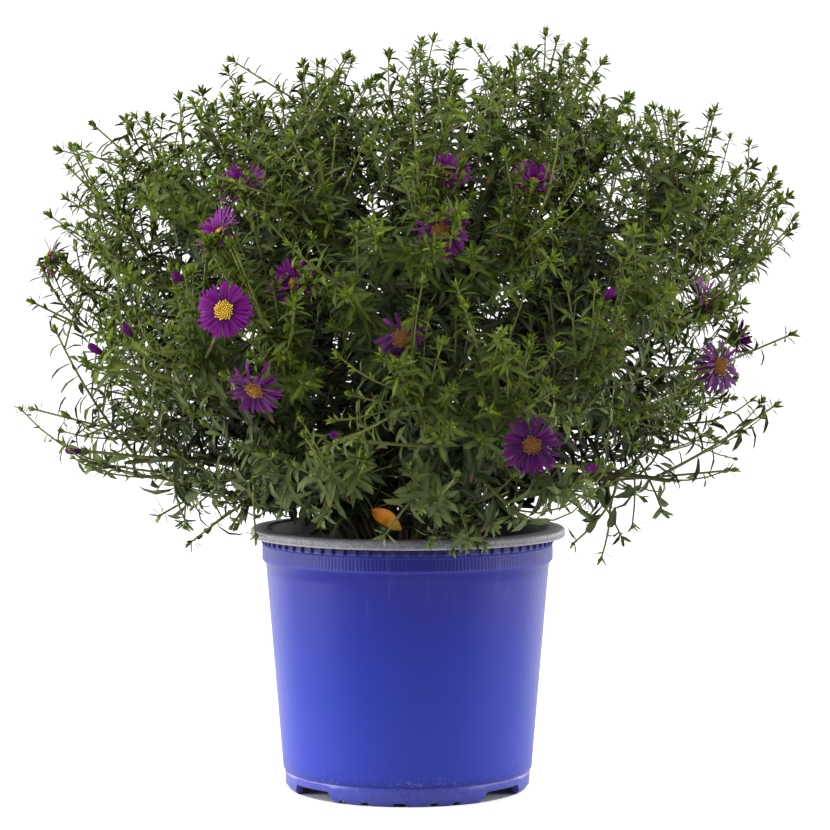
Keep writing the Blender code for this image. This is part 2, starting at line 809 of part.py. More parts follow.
def dress_stem(space, random, stem):
    """Broad leaves low on a main stem, narrow ones higher up, and a rosette at its tip."""
    shoot = stem.shoot
    count = len(stem.stretches)
    for index, stretch in enumerate(stem.stretches):
        along = unit(stem.path[index + 1] - stem.path[index])
        for order, face in enumerate(stretch):
            top = index >= count - TOP_STRETCHES
            low = index < count * 0.5
            every = LOW_LEAF_EVERY if low else LEAF_EVERY
            if shoot.faces[face] is None or (not top and (order + 2 * index) % every):
                continue
            length = (LOW_LEAF if low else LEAF) * random.uniform(*STEM_LEAF_VARIATION)
            tip = leaf_tip(shoot, face, along, length, random.uniform(*LEAF_STAND))
            add_leaf(space, stem, face, tip, stem.number, LOW_LEAF_WIDTH if low else None)
    along = unit(stem.path[-1] - stem.path[-2])
    add_leaf(space, stem, stem.end, stem.path[-1] + TIP_LEAF * along, stem.number)


def claim_heads(space):
    """Keep the room of the blooms, the buds and the withered leaf, under the numbers of their stalks."""
    owner = FIRST_OWNER
    for x, y, z, yaw, lift, length, angle in OPEN_BLOOMS + CUP_BLOOMS:
        owner += 1
        claim_bloom(space, np.array((x, y, z)), facing(yaw, lift), owner, length, angle)
    for x, y, z, yaw, lift in BUDS:
        owner += 1
        centre = np.array((x, y, z))
        space.add(centre, centre + BUD_LENGTH * facing(yaw, lift), BUD_CLAIM, owner)
    space.add(YELLOW_LEAF_TOP, YELLOW_LEAF_TIP, 0.5 * YELLOW_LEAF_WIDTH, WITHERED_OWNER)


def wanted_tips(random):
    """The end, depth and own point of every twig: the sprigs first, then the dome's tips."""
    tips = []
    for place in SPRIGS:
        point = np.array(place)
        tips.append((point - SPRIG_POINT * unit(point - CROWN), False, point))
    tips += [(target, deep, None) for target, deep in twig_targets(random)]
    return tips


def grow_twigs(space, stems, tips, owner):
    twigs = []
    for target, deep, point in tips:
        owner += 1
        twig = grow_twig(space, stems, target, owner, deep)
        if twig is None:
            continue
        stem, path, ring, stretches = twig
        if point is None:
            point = path[-1] + TWIG_POINT * unit(path[-1] - path[-2])
        twigs.append((stem, path, ring, stretches, owner, point))
    return twigs


def grow_plant():
    """All stems with their stalks, twigs and leaves."""
    random = np.random.RandomState(SEED)
    space = Space()
    directions = dome_directions(STEM_COUNT, STEM_SPREAD)
    stems = [Stem(number, direction) for number, direction in enumerate(directions)]
    for stem in stems:
        stem.fill(space)
    heads = OPEN_BLOOMS + CUP_BLOOMS + BUDS
    claim_heads(space)
    for number, (x, y, z, yaw, lift, *_) in enumerate(heads, FIRST_OWNER + 1):
        if not grow_stalk(space, stems, np.array((x, y, z)), facing(yaw, lift), number):
            print("no stalk for the bloom at", x, y, z)
    twigs = grow_twigs(space, stems, wanted_tips(random), FIRST_OWNER + len(heads))
    for stem, path, ring, stretches, number, point in twigs:
        dress_twig(space, random, stem, path, ring, stretches, number, point)
    for stem in stems:
        dress_stem(space, random, stem)
    print("stems", len(stems), "twigs", len(twigs), "rods", space.count)
    return stems


# Blooms

def bloom_frame(centre, look):
    side = unit(np.cross(look, (0.1, 0.2, 1.0)))
    return np.array(centre), side, np.cross(look, side), look


def place_in(frame, across, up, turn):
    """A point given by its distance from the bloom's axis, its height and its turn round it."""
    centre, side, other, look = frame
    return centre + across * (math.cos(turn) * side + math.sin(turn) * other) + up * look


def build_rays(name, frame, count, length, angle, finish):
    """A thin hub whose every side runs out into a blunt ray, in two tiers by turns."""
    points = []
    faces = []
    lean = math.radians(angle)
    step = 2 * math.pi / count
    for corner in range(count):
        points.append(place_in(frame, HUB_RADIUS, 0.0, step * (corner - 0.5)))
    for corner in range(count):
        points.append(place_in(frame, HUB_RADIUS, HUB_HEIGHT, step * (corner - 0.5)))
    faces.append(tuple(reversed(range(count))))
    faces.append(tuple(range(count, 2 * count)))
    for ray in range(count):
        after = (ray + 1) % count
        tier = TIER * (1 if ray % 2 else -1)
        reach_out = length * (0.92 if ray % 2 else 1.0)
        across = HUB_RADIUS + reach_out * math.sin(lean)
        up = 0.5 * HUB_HEIGHT + reach_out * math.cos(lean) + tier
        half = 0.5 * RAY_WIDTH / across
        first = len(points)
        for sign, level in ((-1, -1), (1, -1), (1, 1), (-1, 1)):
            thick = 0.5 * level * RAY_THICKNESS
            points.append(place_in(frame, across - thick * math.cos(lean), up + thick * math.sin(lean),
                                   step * ray + sign * half))
        inner = (ray, after, count + after, count + ray)
        outer = (first, first + 1, first + 2, first + 3)
        for side in range(4):
            following = (side + 1) % 4
            faces.append((inner[side], inner[following], outer[following], outer[side]))
        faces.append(outer)
    add_object(name, points, faces, finish)


def build_disc(name, frame, finish, sides=8):
    """A dome of tightly packed florets: a low dome with a row of points round its shoulder."""
    levels = ((0.86, 0.0), (1.0, 0.32), (0.72, 0.8))
    points = []
    faces = []
    for share, rise in levels:
        for side in range(sides):
            turn = 2 * math.pi * side / sides
            points.append(place_in(frame, share * DISC_RADIUS, HUB_HEIGHT + GAP + rise * DISC_HEIGHT, turn))
    faces.append(tuple(reversed(range(sides))))
    for level in range(2):
        for side in range(sides):
            after = (side + 1) % sides
            low, high = level * sides, (level + 1) * sides
            faces.append((low + side, low + after, high + after, high + side))
    points.append(place_in(frame, 0.0, HUB_HEIGHT + GAP + 0.86 * DISC_HEIGHT, 0.0))
    for side in range(sides):
        after = (side + 1) % sides
        middle = 2 * math.pi * (side + 0.5) / sides
        first, second = 2 * sides + side, 2 * sides + after
        points.append(place_in(frame, 0.55 * DISC_RADIUS, HUB_HEIGHT + 1.12 * DISC_HEIGHT, middle))
        floret = len(points) - 1
        faces.extend(((first, second, floret), (second, 3 * sides, floret), (3 * sides, first, floret)))
    add_object(name, points, faces, finish)


def build_bud(name, frame, finish, sides=6):
    """Rolled rays of an opening bud: a bundle that ends in a crown of points."""
    points = []
    faces = []
    for share, rise in ((0.75, 0.0), (1.0, 0.5), (0.8, 0.82)):
        for side in range(sides):
            turn = 2 * math.pi * side / sides
            points.append(place_in(frame, share * BUD_RADIUS, rise * BUD_LENGTH, turn))
    faces.append(tuple(reversed(range(sides))))
    for level in range(2):
        for side in range(sides):
            after = (side + 1) % sides
            low, high = level * sides, (level + 1) * sides
            faces.append((low + side, low + after, high + after, high + side))
    points.append(place_in(frame, 0.0, 0.84 * BUD_LENGTH, 0.0))
    for side in range(sides):
        after = (side + 1) % sides
        middle = 2 * math.pi * (side + 0.5) / sides
        first, second = 2 * sides + side, 2 * sides + after
        points.append(place_in(frame, 0.5 * BUD_RADIUS, BUD_LENGTH * (1.0 + 0.06 * (side % 2)), middle))
        tip = len(points) - 1
        faces.extend(((first, second, tip), (second, 3 * sides, tip), (3 * sides, first, tip)))
    add_object(name, points, faces, finish)


def build_blooms(violet, gold):
    number = 0
    for x, y, z, yaw, lift, length, angle in OPEN_BLOOMS:
        number += 1
        frame = bloom_frame((x, y, z), facing(yaw, lift))
        build_rays(f"bloom_{number:02d}_rays", frame, OPEN_RAYS, length, angle, violet)
        build_disc(f"bloom_{number:02d}_disc", frame, gold)
    for x, y, z, yaw, lift, length, angle in CUP_BLOOMS:
        number += 1
        frame = bloom_frame((x, y, z), facing(yaw, lift))
        build_rays(f"bloom_{number:02d}_rays", frame, CUP_RAYS, length, angle, violet)
    for number, (x, y, z, yaw, lift) in enumerate(BUDS, 1):
        build_bud(f"bud_{number:02d}", bloom_frame((x, y, z), facing(yaw, lift)), violet)


def nearest_surface(stems, place):
    """The place on any leafy stem that is nearest to a point."""
    points = []
    faces = []
    for stem in stems:
        first = len(points)
        points += [tuple(point) for point in stem.shoot.points]
        faces += [tuple(first + corner for corner in face) for face in stem.shoot.faces if face is not None]
    found, _, _, _ = BVHTree.FromPolygons(points, faces).find_nearest(tuple(place))
    return np.array(found)


def build_yellow_leaf(stems, finish):
    """A withered leaf: a thin curved blade, closed all round, whose stalk starts on the nearest stem."""
    seat = nearest_surface(stems, YELLOW_LEAF_TOP)
    start = seat + GAP * unit(YELLOW_LEAF_TOP - seat)
    run = YELLOW_LEAF_TIP - YELLOW_LEAF_TOP
    across = unit(np.cross(run, (0.0, -1.0, 0.3)))
    out = unit(np.cross(across, run))
    points = [start]
    for share, width in YELLOW_LEAF_OUTLINE:
        middle = YELLOW_LEAF_TOP + share * run + out * YELLOW_LEAF_BOW * math.sin(math.pi * share)
        half = 0.5 * width * YELLOW_LEAF_WIDTH * across
        thick = 0.5 * YELLOW_LEAF_THICKNESS * out
        points.extend((middle - half, middle - thick, middle + half, middle + thick))
    points.append(YELLOW_LEAF_TIP)
    faces = []
    rows = range(1, 4 * len(YELLOW_LEAF_OUTLINE) - 3, 4)
    last = 4 * len(YELLOW_LEAF_OUTLINE) + 1
    for side in range(4):
        after = (side + 1) % 4
        faces.append((0, 1 + side, 1 + after))
        faces += [(row + after, row + side, row + 4 + side, row + 4 + after) for row in rows]
        faces.append((last - 4 + after, last - 4 + side, last))
    add_object("withered_leaf", points, faces, finish)


def clear_scene():
    for piece in list(bpy.data.objects):
        bpy.data.objects.remove(piece)


def main():
    clear_scene()
    blue = material("blue_plastic", srgb(52, 62, 165), 0.42)
    grey = material("grey_plastic", srgb(150, 150, 156), 0.5)
    dark = material("soil", srgb(34, 28, 24), 0.95)
    green = material("aster_green", srgb(70, 80, 40), 0.6)
    violet = material("violet_rays", srgb(120, 30, 140), 0.6)
    gold = material("gold_disc", srgb(205, 150, 40), 0.7)
    yellow = material("withered_yellow", srgb(200, 140, 50), 0.7)
    stems = grow_plant()
    build_pot(blue, grey)
    build_soil(dark, [stem.base for stem in stems])
    for stem in stems:
        faces = [face for face in stem.shoot.faces if face is not None]
        add_object(f"leafy_stem_{stem.number + 1:02d}", stem.shoot.points, faces, green)
    build_blooms(violet, gold)
    build_yellow_leaf(stems, yellow)


main()
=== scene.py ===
# %% [markdown]
# # A potted aster
# A bushy aster stands in a round blue nursery pot with a grey lip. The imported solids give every
# main form and the size. This script dresses them: each leafy stem gets its full number of twigs
# and leaves, each bloom its rays and florets, and every surface its finish.

# %% Load the frame
import math

import bpy
import numpy as np
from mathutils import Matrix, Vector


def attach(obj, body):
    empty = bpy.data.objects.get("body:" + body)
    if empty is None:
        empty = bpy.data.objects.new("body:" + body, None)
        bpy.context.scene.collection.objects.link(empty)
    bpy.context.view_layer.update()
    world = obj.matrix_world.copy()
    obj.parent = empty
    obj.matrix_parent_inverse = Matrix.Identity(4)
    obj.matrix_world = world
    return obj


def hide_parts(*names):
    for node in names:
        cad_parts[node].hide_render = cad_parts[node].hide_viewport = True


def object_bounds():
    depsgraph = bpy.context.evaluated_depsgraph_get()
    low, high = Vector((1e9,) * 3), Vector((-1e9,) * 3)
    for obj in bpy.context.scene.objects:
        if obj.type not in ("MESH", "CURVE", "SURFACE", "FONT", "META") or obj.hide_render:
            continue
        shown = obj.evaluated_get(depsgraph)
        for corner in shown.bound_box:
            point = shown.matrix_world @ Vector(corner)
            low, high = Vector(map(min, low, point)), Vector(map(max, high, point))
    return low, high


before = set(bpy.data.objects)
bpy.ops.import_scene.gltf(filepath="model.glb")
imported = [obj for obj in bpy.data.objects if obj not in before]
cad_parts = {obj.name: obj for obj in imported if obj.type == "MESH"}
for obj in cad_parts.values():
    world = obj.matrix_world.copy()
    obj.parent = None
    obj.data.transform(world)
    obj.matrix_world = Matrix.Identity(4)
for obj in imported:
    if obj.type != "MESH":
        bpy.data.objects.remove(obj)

cad_box = [list(corner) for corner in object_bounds()]
print("solids reach from", np.round(cad_box[0], 4), "to", np.round(cad_box[1], 4))

# %% [markdown]
# ## Camera
# The photograph looks at the front of the pot from a little above its lip, through a long lens.
# Its place was worked out from the ellipses of the lip and the foot, in metres.

# %% Camera
PHOTO_SIDE = 830
FOCAL_PIXELS = 2830
SENSOR = 36.0
CAMERA_PLACE = (0.0045, -1.70, 0.31)
CAMERA_PITCH = 2.88

camera = bpy.data.objects.new("camera", bpy.data.cameras.new("camera"))
bpy.context.scene.collection.objects.link(camera)
camera.location = CAMERA_PLACE
camera.rotation_euler = (math.radians(90 - CAMERA_PITCH), 0, 0)
camera.data.sensor_width = SENSOR
camera.data.lens = SENSOR * FOCAL_PIXELS / PHOTO_SIDE
bpy.context.scene.camera = camera
print("lens", round(camera.data.lens, 1), "mm")

# %% [markdown]
# ## Small helpers for nodes
# A finish is a tree of nodes. These few functions keep each material short: one adds a node and
# sets or links its inputs, one makes a colour ramp, and the others mix two colours or work out a
# share from a value.

# %% Node helpers
def srgb(red, green, blue):
    """A colour from its 0-255 values, made linear."""
    return tuple((value / 255) ** 2.2 for value in (red, green, blue)) + (1.0,)


def add(tree, kind, inputs=None, **settings):
    """Add a node, set its options, and set or link its inputs."""
    made = tree.nodes.new(kind)
    for name, value in settings.items():
        setattr(made, name, value)
    for name, value in (inputs or {}).items():
        if isinstance(value, bpy.types.NodeSocket):
            tree.links.new(value, made.inputs[name])
        else:
            made.inputs[name].default_value = value
    return made


def ramp(tree, value, stops):
    """Turn a value into a colour by named stops along it."""
    made = add(tree, "ShaderNodeValToRGB", {"Fac": value})
    elements = made.color_ramp.elements
    while len(elements) < len(stops):
        elements.new(0.5)
    for element, (place, colour) in zip(elements, stops):
        element.position = place
        element.color = colour
    return made.outputs["Color"]


def mix(tree, share, first, second, blend="MIX"):
    """Mix two colours by a share."""
    made = add(tree, "ShaderNodeMix", {0: share, 6: first, 7: second}, data_type="RGBA", blend_type=blend)
    return made.outputs[2]


def math_node(tree, operation, first, second=0.5):
    return add(tree, "ShaderNodeMath", {0: first, 1: second}, operation=operation).outputs[0]


def times(tree, first, second):
    return math_node(tree, "MULTIPLY", first, second)


def rest_of(tree, share):
    """What a share leaves of the whole: 1 - share."""
    return math_node(tree, "SUBTRACT", 1.0, share)


def between(tree, value, low, high):
    """A share that runs from 0 to 1 as a value runs from low to high."""
    made = add(tree, "ShaderNodeMapRange", {"Value": value, "From Min": low, "From Max": high})
    return made.outputs["Result"]


def noise(tree, where, scale, detail, **inputs):
    """Cloudy noise over places, from 0 to 1."""
    made = add(tree, "ShaderNodeTexNoise", {"Vector": where, "Scale": scale, "Detail": detail, **inputs})
    return made.outputs["Fac"]


def new_group(name, inputs, outputs):
    """A shader node group with named sockets. Returns it with its two end nodes."""
    group = bpy.data.node_groups.new(name, "ShaderNodeTree")
    for label, kind, value in inputs:
        socket = group.interface.new_socket(label, in_out="INPUT", socket_type=kind)
        if value is not None:
            socket.default_value = value
    for label, kind in outputs:
        group.interface.new_socket(label, in_out="OUTPUT", socket_type=kind)
    return group, group.nodes.new("NodeGroupInput"), group.nodes.new("NodeGroupOutput")


# %% [markdown]
# ## Light
# The pot is pale at both sides and deepest in its middle, so two large soft lights stand left and
# right of it, two weaker ones behind it, and a wide one above. The surroundings look white, but they
# give less light from the front, where a studio is dark.

# %% Light
MIDDLE = (0.0, 0.0, 0.22)
LIGHTS = (
    ("left_light", (-2.2, -0.50, 0.50), 1.2, 63),
    ("right_light", (2.2, -0.40, 0.45), 1.2, 38),
    ("left_rim_light", (-1.7, 1.3, 0.30), 1.0, 25),
    ("right_rim_light", (1.7, 1.3, 0.30), 1.0, 25),
    ("top_light", (-0.2, -0.8, 2.3), 1.3, 36),
)
ROOM_GLOW = (0.06, 1.25)
ROOM_DEPTHS = (-0.85, 0.30)
WHITE = (1, 1, 1, 1)
BLACK = (0, 0, 0, 1)


def area_light(name, place, size, power):
    """A square soft light that looks from its place towards the plant's middle."""
    lamp = bpy.data.lights.new(name, "AREA")
    lamp.shape = "SQUARE"
    lamp.size = size
    lamp.energy = power
    light = bpy.data.objects.new(name, lamp)
    bpy.context.scene.collection.objects.link(light)
    light.location = place
    away = np.subtract(place, MIDDLE)
    turn = math.atan2(away[1], away[0])
    lean = math.acos(away[2] / np.linalg.norm(away))
    light.rotation_euler = (0, lean, turn)


for light in LIGHTS:
    area_light(*light)
world = bpy.data.worlds.new("white_room")
world.use_nodes = True
tree = world.node_tree
ahead = add(tree, "ShaderNodeSeparateXYZ",
            {"Vector": add(tree, "ShaderNodeTexCoord").outputs["Generated"]})
glow = add(tree, "ShaderNodeMapRange",
           {"Value": ahead.outputs["Y"], "From Min": ROOM_DEPTHS[0], "From Max": ROOM_DEPTHS[1],
            "To Min": ROOM_GLOW[0], "To Max": ROOM_GLOW[1]})
seen = add(tree, "ShaderNodeLightPath").outputs["Is Camera Ray"]
strength = math_node(tree, "MAXIMUM", seen, glow.outputs["Result"])
tree.links.new(strength, tree.nodes["Background"].inputs["Strength"])
tree.nodes["Background"].inputs["Color"].default_value = WHITE
bpy.context.scene.world = world
bpy.context.scene.view_settings.view_transform = "Standard"
print(len(LIGHTS), "soft lights in a white room")

# %% [markdown]
# ## Effects that several finishes share
# Living and moulded surfaces are never one flat colour. `mottle` gives soft cloudy patches, `grain`
# a fine uneven surface, and `dust` lays dirt in patches over a colour. Each is a node group, so it
# is built once and every material places it with values of its own.

# %% Shared effects
FLOAT = "NodeSocketFloat"
VECTOR = "NodeSocketVector"
COLOUR = "NodeSocketColor"

mottle, ends, out = new_group(
    "mottle", [("Vector", VECTOR, None), ("Scale", FLOAT, 10.0)], [("Mask", FLOAT)])
clouds = noise(mottle, ends.outputs["Vector"], ends.outputs["Scale"], 5.0, Roughness=0.55)
mottle.links.new(between(mottle, clouds, 0.32, 0.68), out.inputs["Mask"])

grain, ends, out = new_group(
    "grain", [("Vector", VECTOR, None), ("Scale", FLOAT, 400.0), ("Depth", FLOAT, 0.0001)],
    [("Normal", VECTOR)])
pits = noise(grain, ends.outputs["Vector"], ends.outputs["Scale"], 3.0)
bump = add(grain, "ShaderNodeBump",
           {"Strength": 0.6, "Distance": ends.outputs["Depth"], "Height": pits})
grain.links.new(bump.outputs["Normal"], out.inputs["Normal"])

dust, ends, out = new_group(
    "dust", [("Vector", VECTOR, None), ("Scale", FLOAT, 60.0), ("Colour", COLOUR, WHITE),
             ("Dust", COLOUR, WHITE), ("Amount", FLOAT, 0.3)], [("Colour", COLOUR)])
specks = noise(dust, ends.outputs["Vector"], ends.outputs["Scale"], 6.0, Roughness=0.7)
share = times(dust, between(dust, specks, 0.5, 0.72), ends.outputs["Amount"])
dust.links.new(mix(dust, share, ends.outputs["Colour"], ends.outputs["Dust"]), out.inputs["Colour"])


def place_group(tree, group, **inputs):
    """Put a shared effect into a material, with this material's own values."""
    return add(tree, "ShaderNodeGroup", inputs, node_tree=group)


def cloudy(tree, where, scale):
    """A share that is 1 in soft patches and 0 between them."""
    return place_group(tree, mottle, Vector=where, Scale=scale).outputs["Mask"]


def dusted(tree, where, scale, colour, dirt, amount):
    """A colour with specks of dirt over it."""
    laid = place_group(tree, dust, Vector=where, Scale=scale, Colour=colour, Dust=dirt, Amount=amount)
    return laid.outputs["Colour"]


def new_material(name, roughness, **plain):
    """A Principled material. Returns it with its tree, shader and Object coordinates."""
    finish = bpy.data.materials.new(name)
    finish.use_nodes = True
    tree = finish.node_tree
    shader = tree.nodes["Principled BSDF"]
    shader.inputs["Roughness"].default_value = roughness
    for socket, value in plain.items():
        shader.inputs[socket.replace("_", " ")].default_value = value
    coordinates = add(tree, "ShaderNodeTexCoord").outputs["Object"]
    return finish, tree, shader, coordinates


def cover(tree, shader, colour, where, scale, depth):
    """Give a shader its colour, and the fine grain of its skin."""
    skin = place_group(tree, grain, Vector=where, Scale=scale, Depth=depth)
    tree.links.new(colour, shader.inputs["Base Color"])
    tree.links.new(skin.outputs["Normal"], shader.inputs["Normal"])


# %% [markdown]
# ## Finish of the pot
# The pot is moulded from blue plastic: a satin skin with a faint cloudiness, and a sheen that makes
# its sides paler. A ramp over the height paints light and shade into its tone: painted shade that
# deepens up the wall towards the foliage and lies in the groove below the lip, at the foot's step and
# beside the band's lower edge, a foot made paler for light from the floor, and painted highlights
# along the band's edges and on the lugs. The foot is also dirty. The ribbed band is duller than the
# wall. Specks of wear lie at the foot's step, faint upright streaks below the band.

# %% Blue plastic
POT_TOP = 0.152
# Painted light and shade by height: shade up the wall, in the groove and at the step, highlights on edges
# and lugs.
POT_SHADING_BY_HEIGHT = (
    (0.0, srgb(80, 84, 172)), (0.0108, srgb(74, 80, 174)), (0.0116, srgb(30, 38, 122)),
    (0.0126, srgb(42, 56, 158)), (0.0150, srgb(48, 62, 174)), (0.0235, srgb(44, 58, 172)),
    (0.0610, srgb(20, 46, 161)), (0.0840, srgb(6, 38, 153)), (0.106, srgb(2, 28, 142)),
    (0.124, srgb(0, 24, 133)), (0.136, srgb(0, 18, 124)), (0.1374, srgb(4, 16, 114)),
    (0.1384, srgb(52, 60, 160)), (0.1394, srgb(0, 12, 116)), (0.1455, srgb(0, 10, 110)),
    (0.1464, srgb(34, 40, 140)), (0.1470, srgb(4, 8, 74)), (0.1477, srgb(62, 68, 160)),
    (0.1484, srgb(12, 18, 104)), (0.1512, srgb(2, 4, 52)),
)
BAND_START = (0.1370, 0.1376)
STEP_HEIGHT = 0.0125
STEP_WEAR = (0.0015, 0.0075)
STREAKED = (0.092, 0.128)
SOILED = (0.002, 0.013)


def stretched(tree, coordinates, scale):
    """Object coordinates scaled by a different number each way, which stretches a pattern."""
    return add(tree, "ShaderNodeMapping", {"Vector": coordinates, "Scale": scale}).outputs["Vector"]


def height_of(tree, coordinates):
    return add(tree, "ShaderNodeSeparateXYZ", {"Vector": coordinates}).outputs["Z"]


def pot_wear(tree, where, height):
    """How far the pot is worn: specks near the foot's step or streaks high up, in patches."""
    specks = noise(tree, stretched(tree, where, (420, 420, 620)), 1.0, 4.0, Roughness=0.65)
    streaks = noise(tree, stretched(tree, where, (230, 230, 26)), 1.0, 4.0, Roughness=0.6)
    from_step = math_node(tree, "ABSOLUTE", math_node(tree, "SUBTRACT", height, STEP_HEIGHT))
    near_step = rest_of(tree, between(tree, from_step, *STEP_WEAR))
    low = times(tree, between(tree, specks, 0.56, 0.70), near_step)
    faint = times(tree, between(tree, height, *STREAKED), 0.09)
    high = times(tree, between(tree, streaks, 0.56, 0.74), faint)
    return times(tree, math_node(tree, "MAXIMUM", low, high), cloudy(tree, where, 34.0))


blue_plastic, tree, shader, where = new_material(
    "blue_plastic", 0.34, Specular_IOR_Level=0.34, Sheen_Weight=0.22, Sheen_Roughness=0.45)
height = height_of(tree, where)
# The plastic's blue with painted shade and painted highlights laid over it by height.
shaded_by_height = ramp(tree, between(tree, height, 0.0, POT_TOP),
                 [(level / POT_TOP, tone) for level, tone in POT_SHADING_BY_HEIGHT])
clouds = cloudy(tree, where, 9.0)
on_band = between(tree, height, *BAND_START)
base = mix(tree, times(tree, clouds, 0.2), shaded_by_height, srgb(28, 46, 150))
base = mix(tree, on_band, base, shaded_by_height)
worn = mix(tree, pot_wear(tree, where, height), base, srgb(140, 146, 210))
dirty = dusted(tree, where, 330.0, worn, srgb(26, 22, 60), 0.55)
smudged = mix(tree, rest_of(tree, between(tree, height, *SOILED)), worn, dirty)
cover(tree, shader, smudged, where, 240.0, 0.00012)
satin = add(tree, "ShaderNodeMapRange", {"Value": clouds, "To Min": 0.31, "To Max": 0.36})
dull = math_node(tree, "MAXIMUM", satin.outputs["Result"], times(tree, on_band, 0.52))
tree.links.new(dull, shader.inputs["Roughness"])
print("blue plastic with", len(tree.nodes), "nodes")

# %% [markdown]
# ## Finish of the lip
# The lip is grey, speckled and a little dirty, with a painted highlight along its lower edge. Soil
# splashes make dark specks, and painted shade darkens its inner side. The specks are the shared
# dust, once dark and once pale, and the distance from the axis tells the inner side.

# %% Grey plastic
LIP_EDGE_HIGHLIGHT = (0.1517, 0.1532)
INNER_SHADE = (0.0893, 0.0912)

grey_plastic, tree, shader, where = new_material("grey_plastic", 0.5, Specular_IOR_Level=0.4)
clouds = cloudy(tree, where, 60.0)
base = mix(tree, clouds, srgb(86, 86, 91), srgb(109, 109, 114))
# Painted highlight: a pale line along the lip's lower edge.
edge = rest_of(tree, between(tree, height_of(tree, where), *LIP_EDGE_HIGHLIGHT))
edge_highlighted = mix(tree, edge, base, srgb(176, 176, 183))
specked = dusted(tree, where, 420.0, edge_highlighted, srgb(58, 54, 50), 0.75)
specked = dusted(tree, stretched(tree, where, (1, 1, 2)), 610.0, specked, srgb(190, 190, 194), 0.5)
flat = add(tree, "ShaderNodeVectorMath", {0: where, 1: (1, 1, 0)}, operation="MULTIPLY")
radius = add(tree, "ShaderNodeVectorMath", {0: flat.outputs[0]}, operation="LENGTH").outputs["Value"]
# Painted shade: the lip's inner side is darkened.
wavy = math_node(tree, "ADD", radius, times(tree, clouds, 0.0012))
inside = rest_of(tree, between(tree, wavy, *INNER_SHADE))
cover(tree, shader, mix(tree, inside, specked, srgb(30, 27, 24)), where, 500.0, 0.00012)
print("grey plastic with", len(tree.nodes), "nodes")

# %% [markdown]
# ## Finish of the soil
# Moist potting soil is almost black, with brown fibres and a rough surface. The fibres are dust that
# is stretched along one way, and the roughness is a deep grain.

# %% Soil finish
soil_dark, tree, shader, where = new_material("soil_dark", 0.95, Specular_IOR_Level=0.2)
base = mix(tree, cloudy(tree, where, 160.0), srgb(16, 13, 11), srgb(44, 36, 30))
fibres = dusted(tree, stretched(tree, where, (1, 3, 2)), 300.0, base, srgb(84, 68, 50), 0.5)
cover(tree, shader, fibres, where, 900.0, 0.0006)
print("soil with", len(tree.nodes), "nodes")

# %% [markdown]
# ## Finish of the leaves
# Young leaves at the tips are yellow-green, older ones lower down are a dull grey-green, and a few
# have brown points. Leaves deep in the bush are darkened with painted shade: their age is pushed up
# towards the dark end of the ramp. Thousands of leaves share one material, so each carries its age
# with that painted shade, a tint of its own, and two coordinates: how far a point is along the leaf,
# and how near to its midrib.

# %% Leaf green
# The dark stops at 0.80 and 1.0 are painted shade for leaves deep in the bush.
LEAF_AGES_AND_SHADE = (
    (0.0, srgb(131, 149, 10)), (0.16, srgb(103, 120, 14)), (0.38, srgb(76, 88, 25)),
    (0.62, srgb(70, 80, 41)), (0.80, srgb(45, 54, 29)), (1.0, srgb(29, 36, 19)),
)
LOW_IN_BUSH = (0.165, 0.235)


def attribute(tree, name):
    """The three values of a point attribute: (first, second, third)."""
    stored = add(tree, "ShaderNodeAttribute", attribute_name=name)
    parts = add(tree, "ShaderNodeSeparateXYZ", {"Vector": stored.outputs["Vector"]})
    return parts.outputs["X"], parts.outputs["Y"], parts.outputs["Z"]


def tint_of(tree):
    return add(tree, "ShaderNodeAttribute", attribute_name="tint").outputs["Fac"]


leaf_green, tree, shader, where = new_material("leaf_green", 0.6, Specular_IOR_Level=0.2)
age, along, midrib = attribute(tree, "growth")
tint = tint_of(tree)
own = mix(tree, tint, srgb(208, 230, 208), srgb(247, 248, 190))
tinted = mix(tree, 0.85, ramp(tree, age, LEAF_AGES_AND_SHADE), own, "MULTIPLY")
veined = mix(tree, times(tree, between(tree, midrib, 0.72, 1.0), 0.30), tinted, srgb(134, 148, 66))
blotched = mix(tree, times(tree, cloudy(tree, where, 170.0), 0.30), veined, srgb(50, 62, 32))
low = rest_of(tree, between(tree, height_of(tree, where), *LOW_IN_BUSH))
young = rest_of(tree, between(tree, age, 0.35, 0.9))
greyed = mix(tree, times(tree, times(tree, low, young), 0.55), blotched, srgb(100, 110, 80))
brown = times(tree, between(tree, along, 0.80, 1.0), between(tree, tint, 0.80, 0.95))
cover(tree, shader, mix(tree, brown, greyed, srgb(140, 96, 48)), where, 1500.0, 0.00008)
print("leaf green with", len(tree.nodes), "nodes")

# %% [markdown]
# ## Finish of the stems
# Young twigs are olive green, and the main stems turn brown and dull towards the soil. The same
# attribute as on the leaves gives the age, and clouds drawn out upwards give the bark its streaks.

# %% Stem bark
STEM_AGES = (
    (0.0, srgb(112, 120, 54)), (0.4, srgb(88, 90, 50)), (0.75, srgb(78, 68, 44)), (1.0, srgb(60, 48, 34)),
)

stem_bark, tree, shader, where = new_material("stem_bark", 0.6, Specular_IOR_Level=0.35)
age, _, _ = attribute(tree, "growth")
clouds = cloudy(tree, stretched(tree, where, (1, 1, 0.3)), 420.0)
barked = mix(tree, times(tree, clouds, 0.4), ramp(tree, age, STEM_AGES), srgb(70, 62, 36))
cover(tree, shader, barked, stretched(tree, where, (1, 1, 0.25)), 1400.0, 0.00015)
print("stem bark with", len(tree.nodes), "nodes")

# %% [markdown]
# ## Finish of the rays
# A ray is violet, deeper at its root, with painted shade along its edges where rays overlap, fine
# streaks and a soft sheen. Some rays are pinker than others, by their tint, and on old blooms they
# fade, by their age.

# %% Violet rays
RAY_TONES = (
    (0.0, srgb(60, 3, 68)), (0.35, srgb(90, 4, 98)), (0.8, srgb(118, 8, 124)), (1.0, srgb(134, 26, 140)),
)

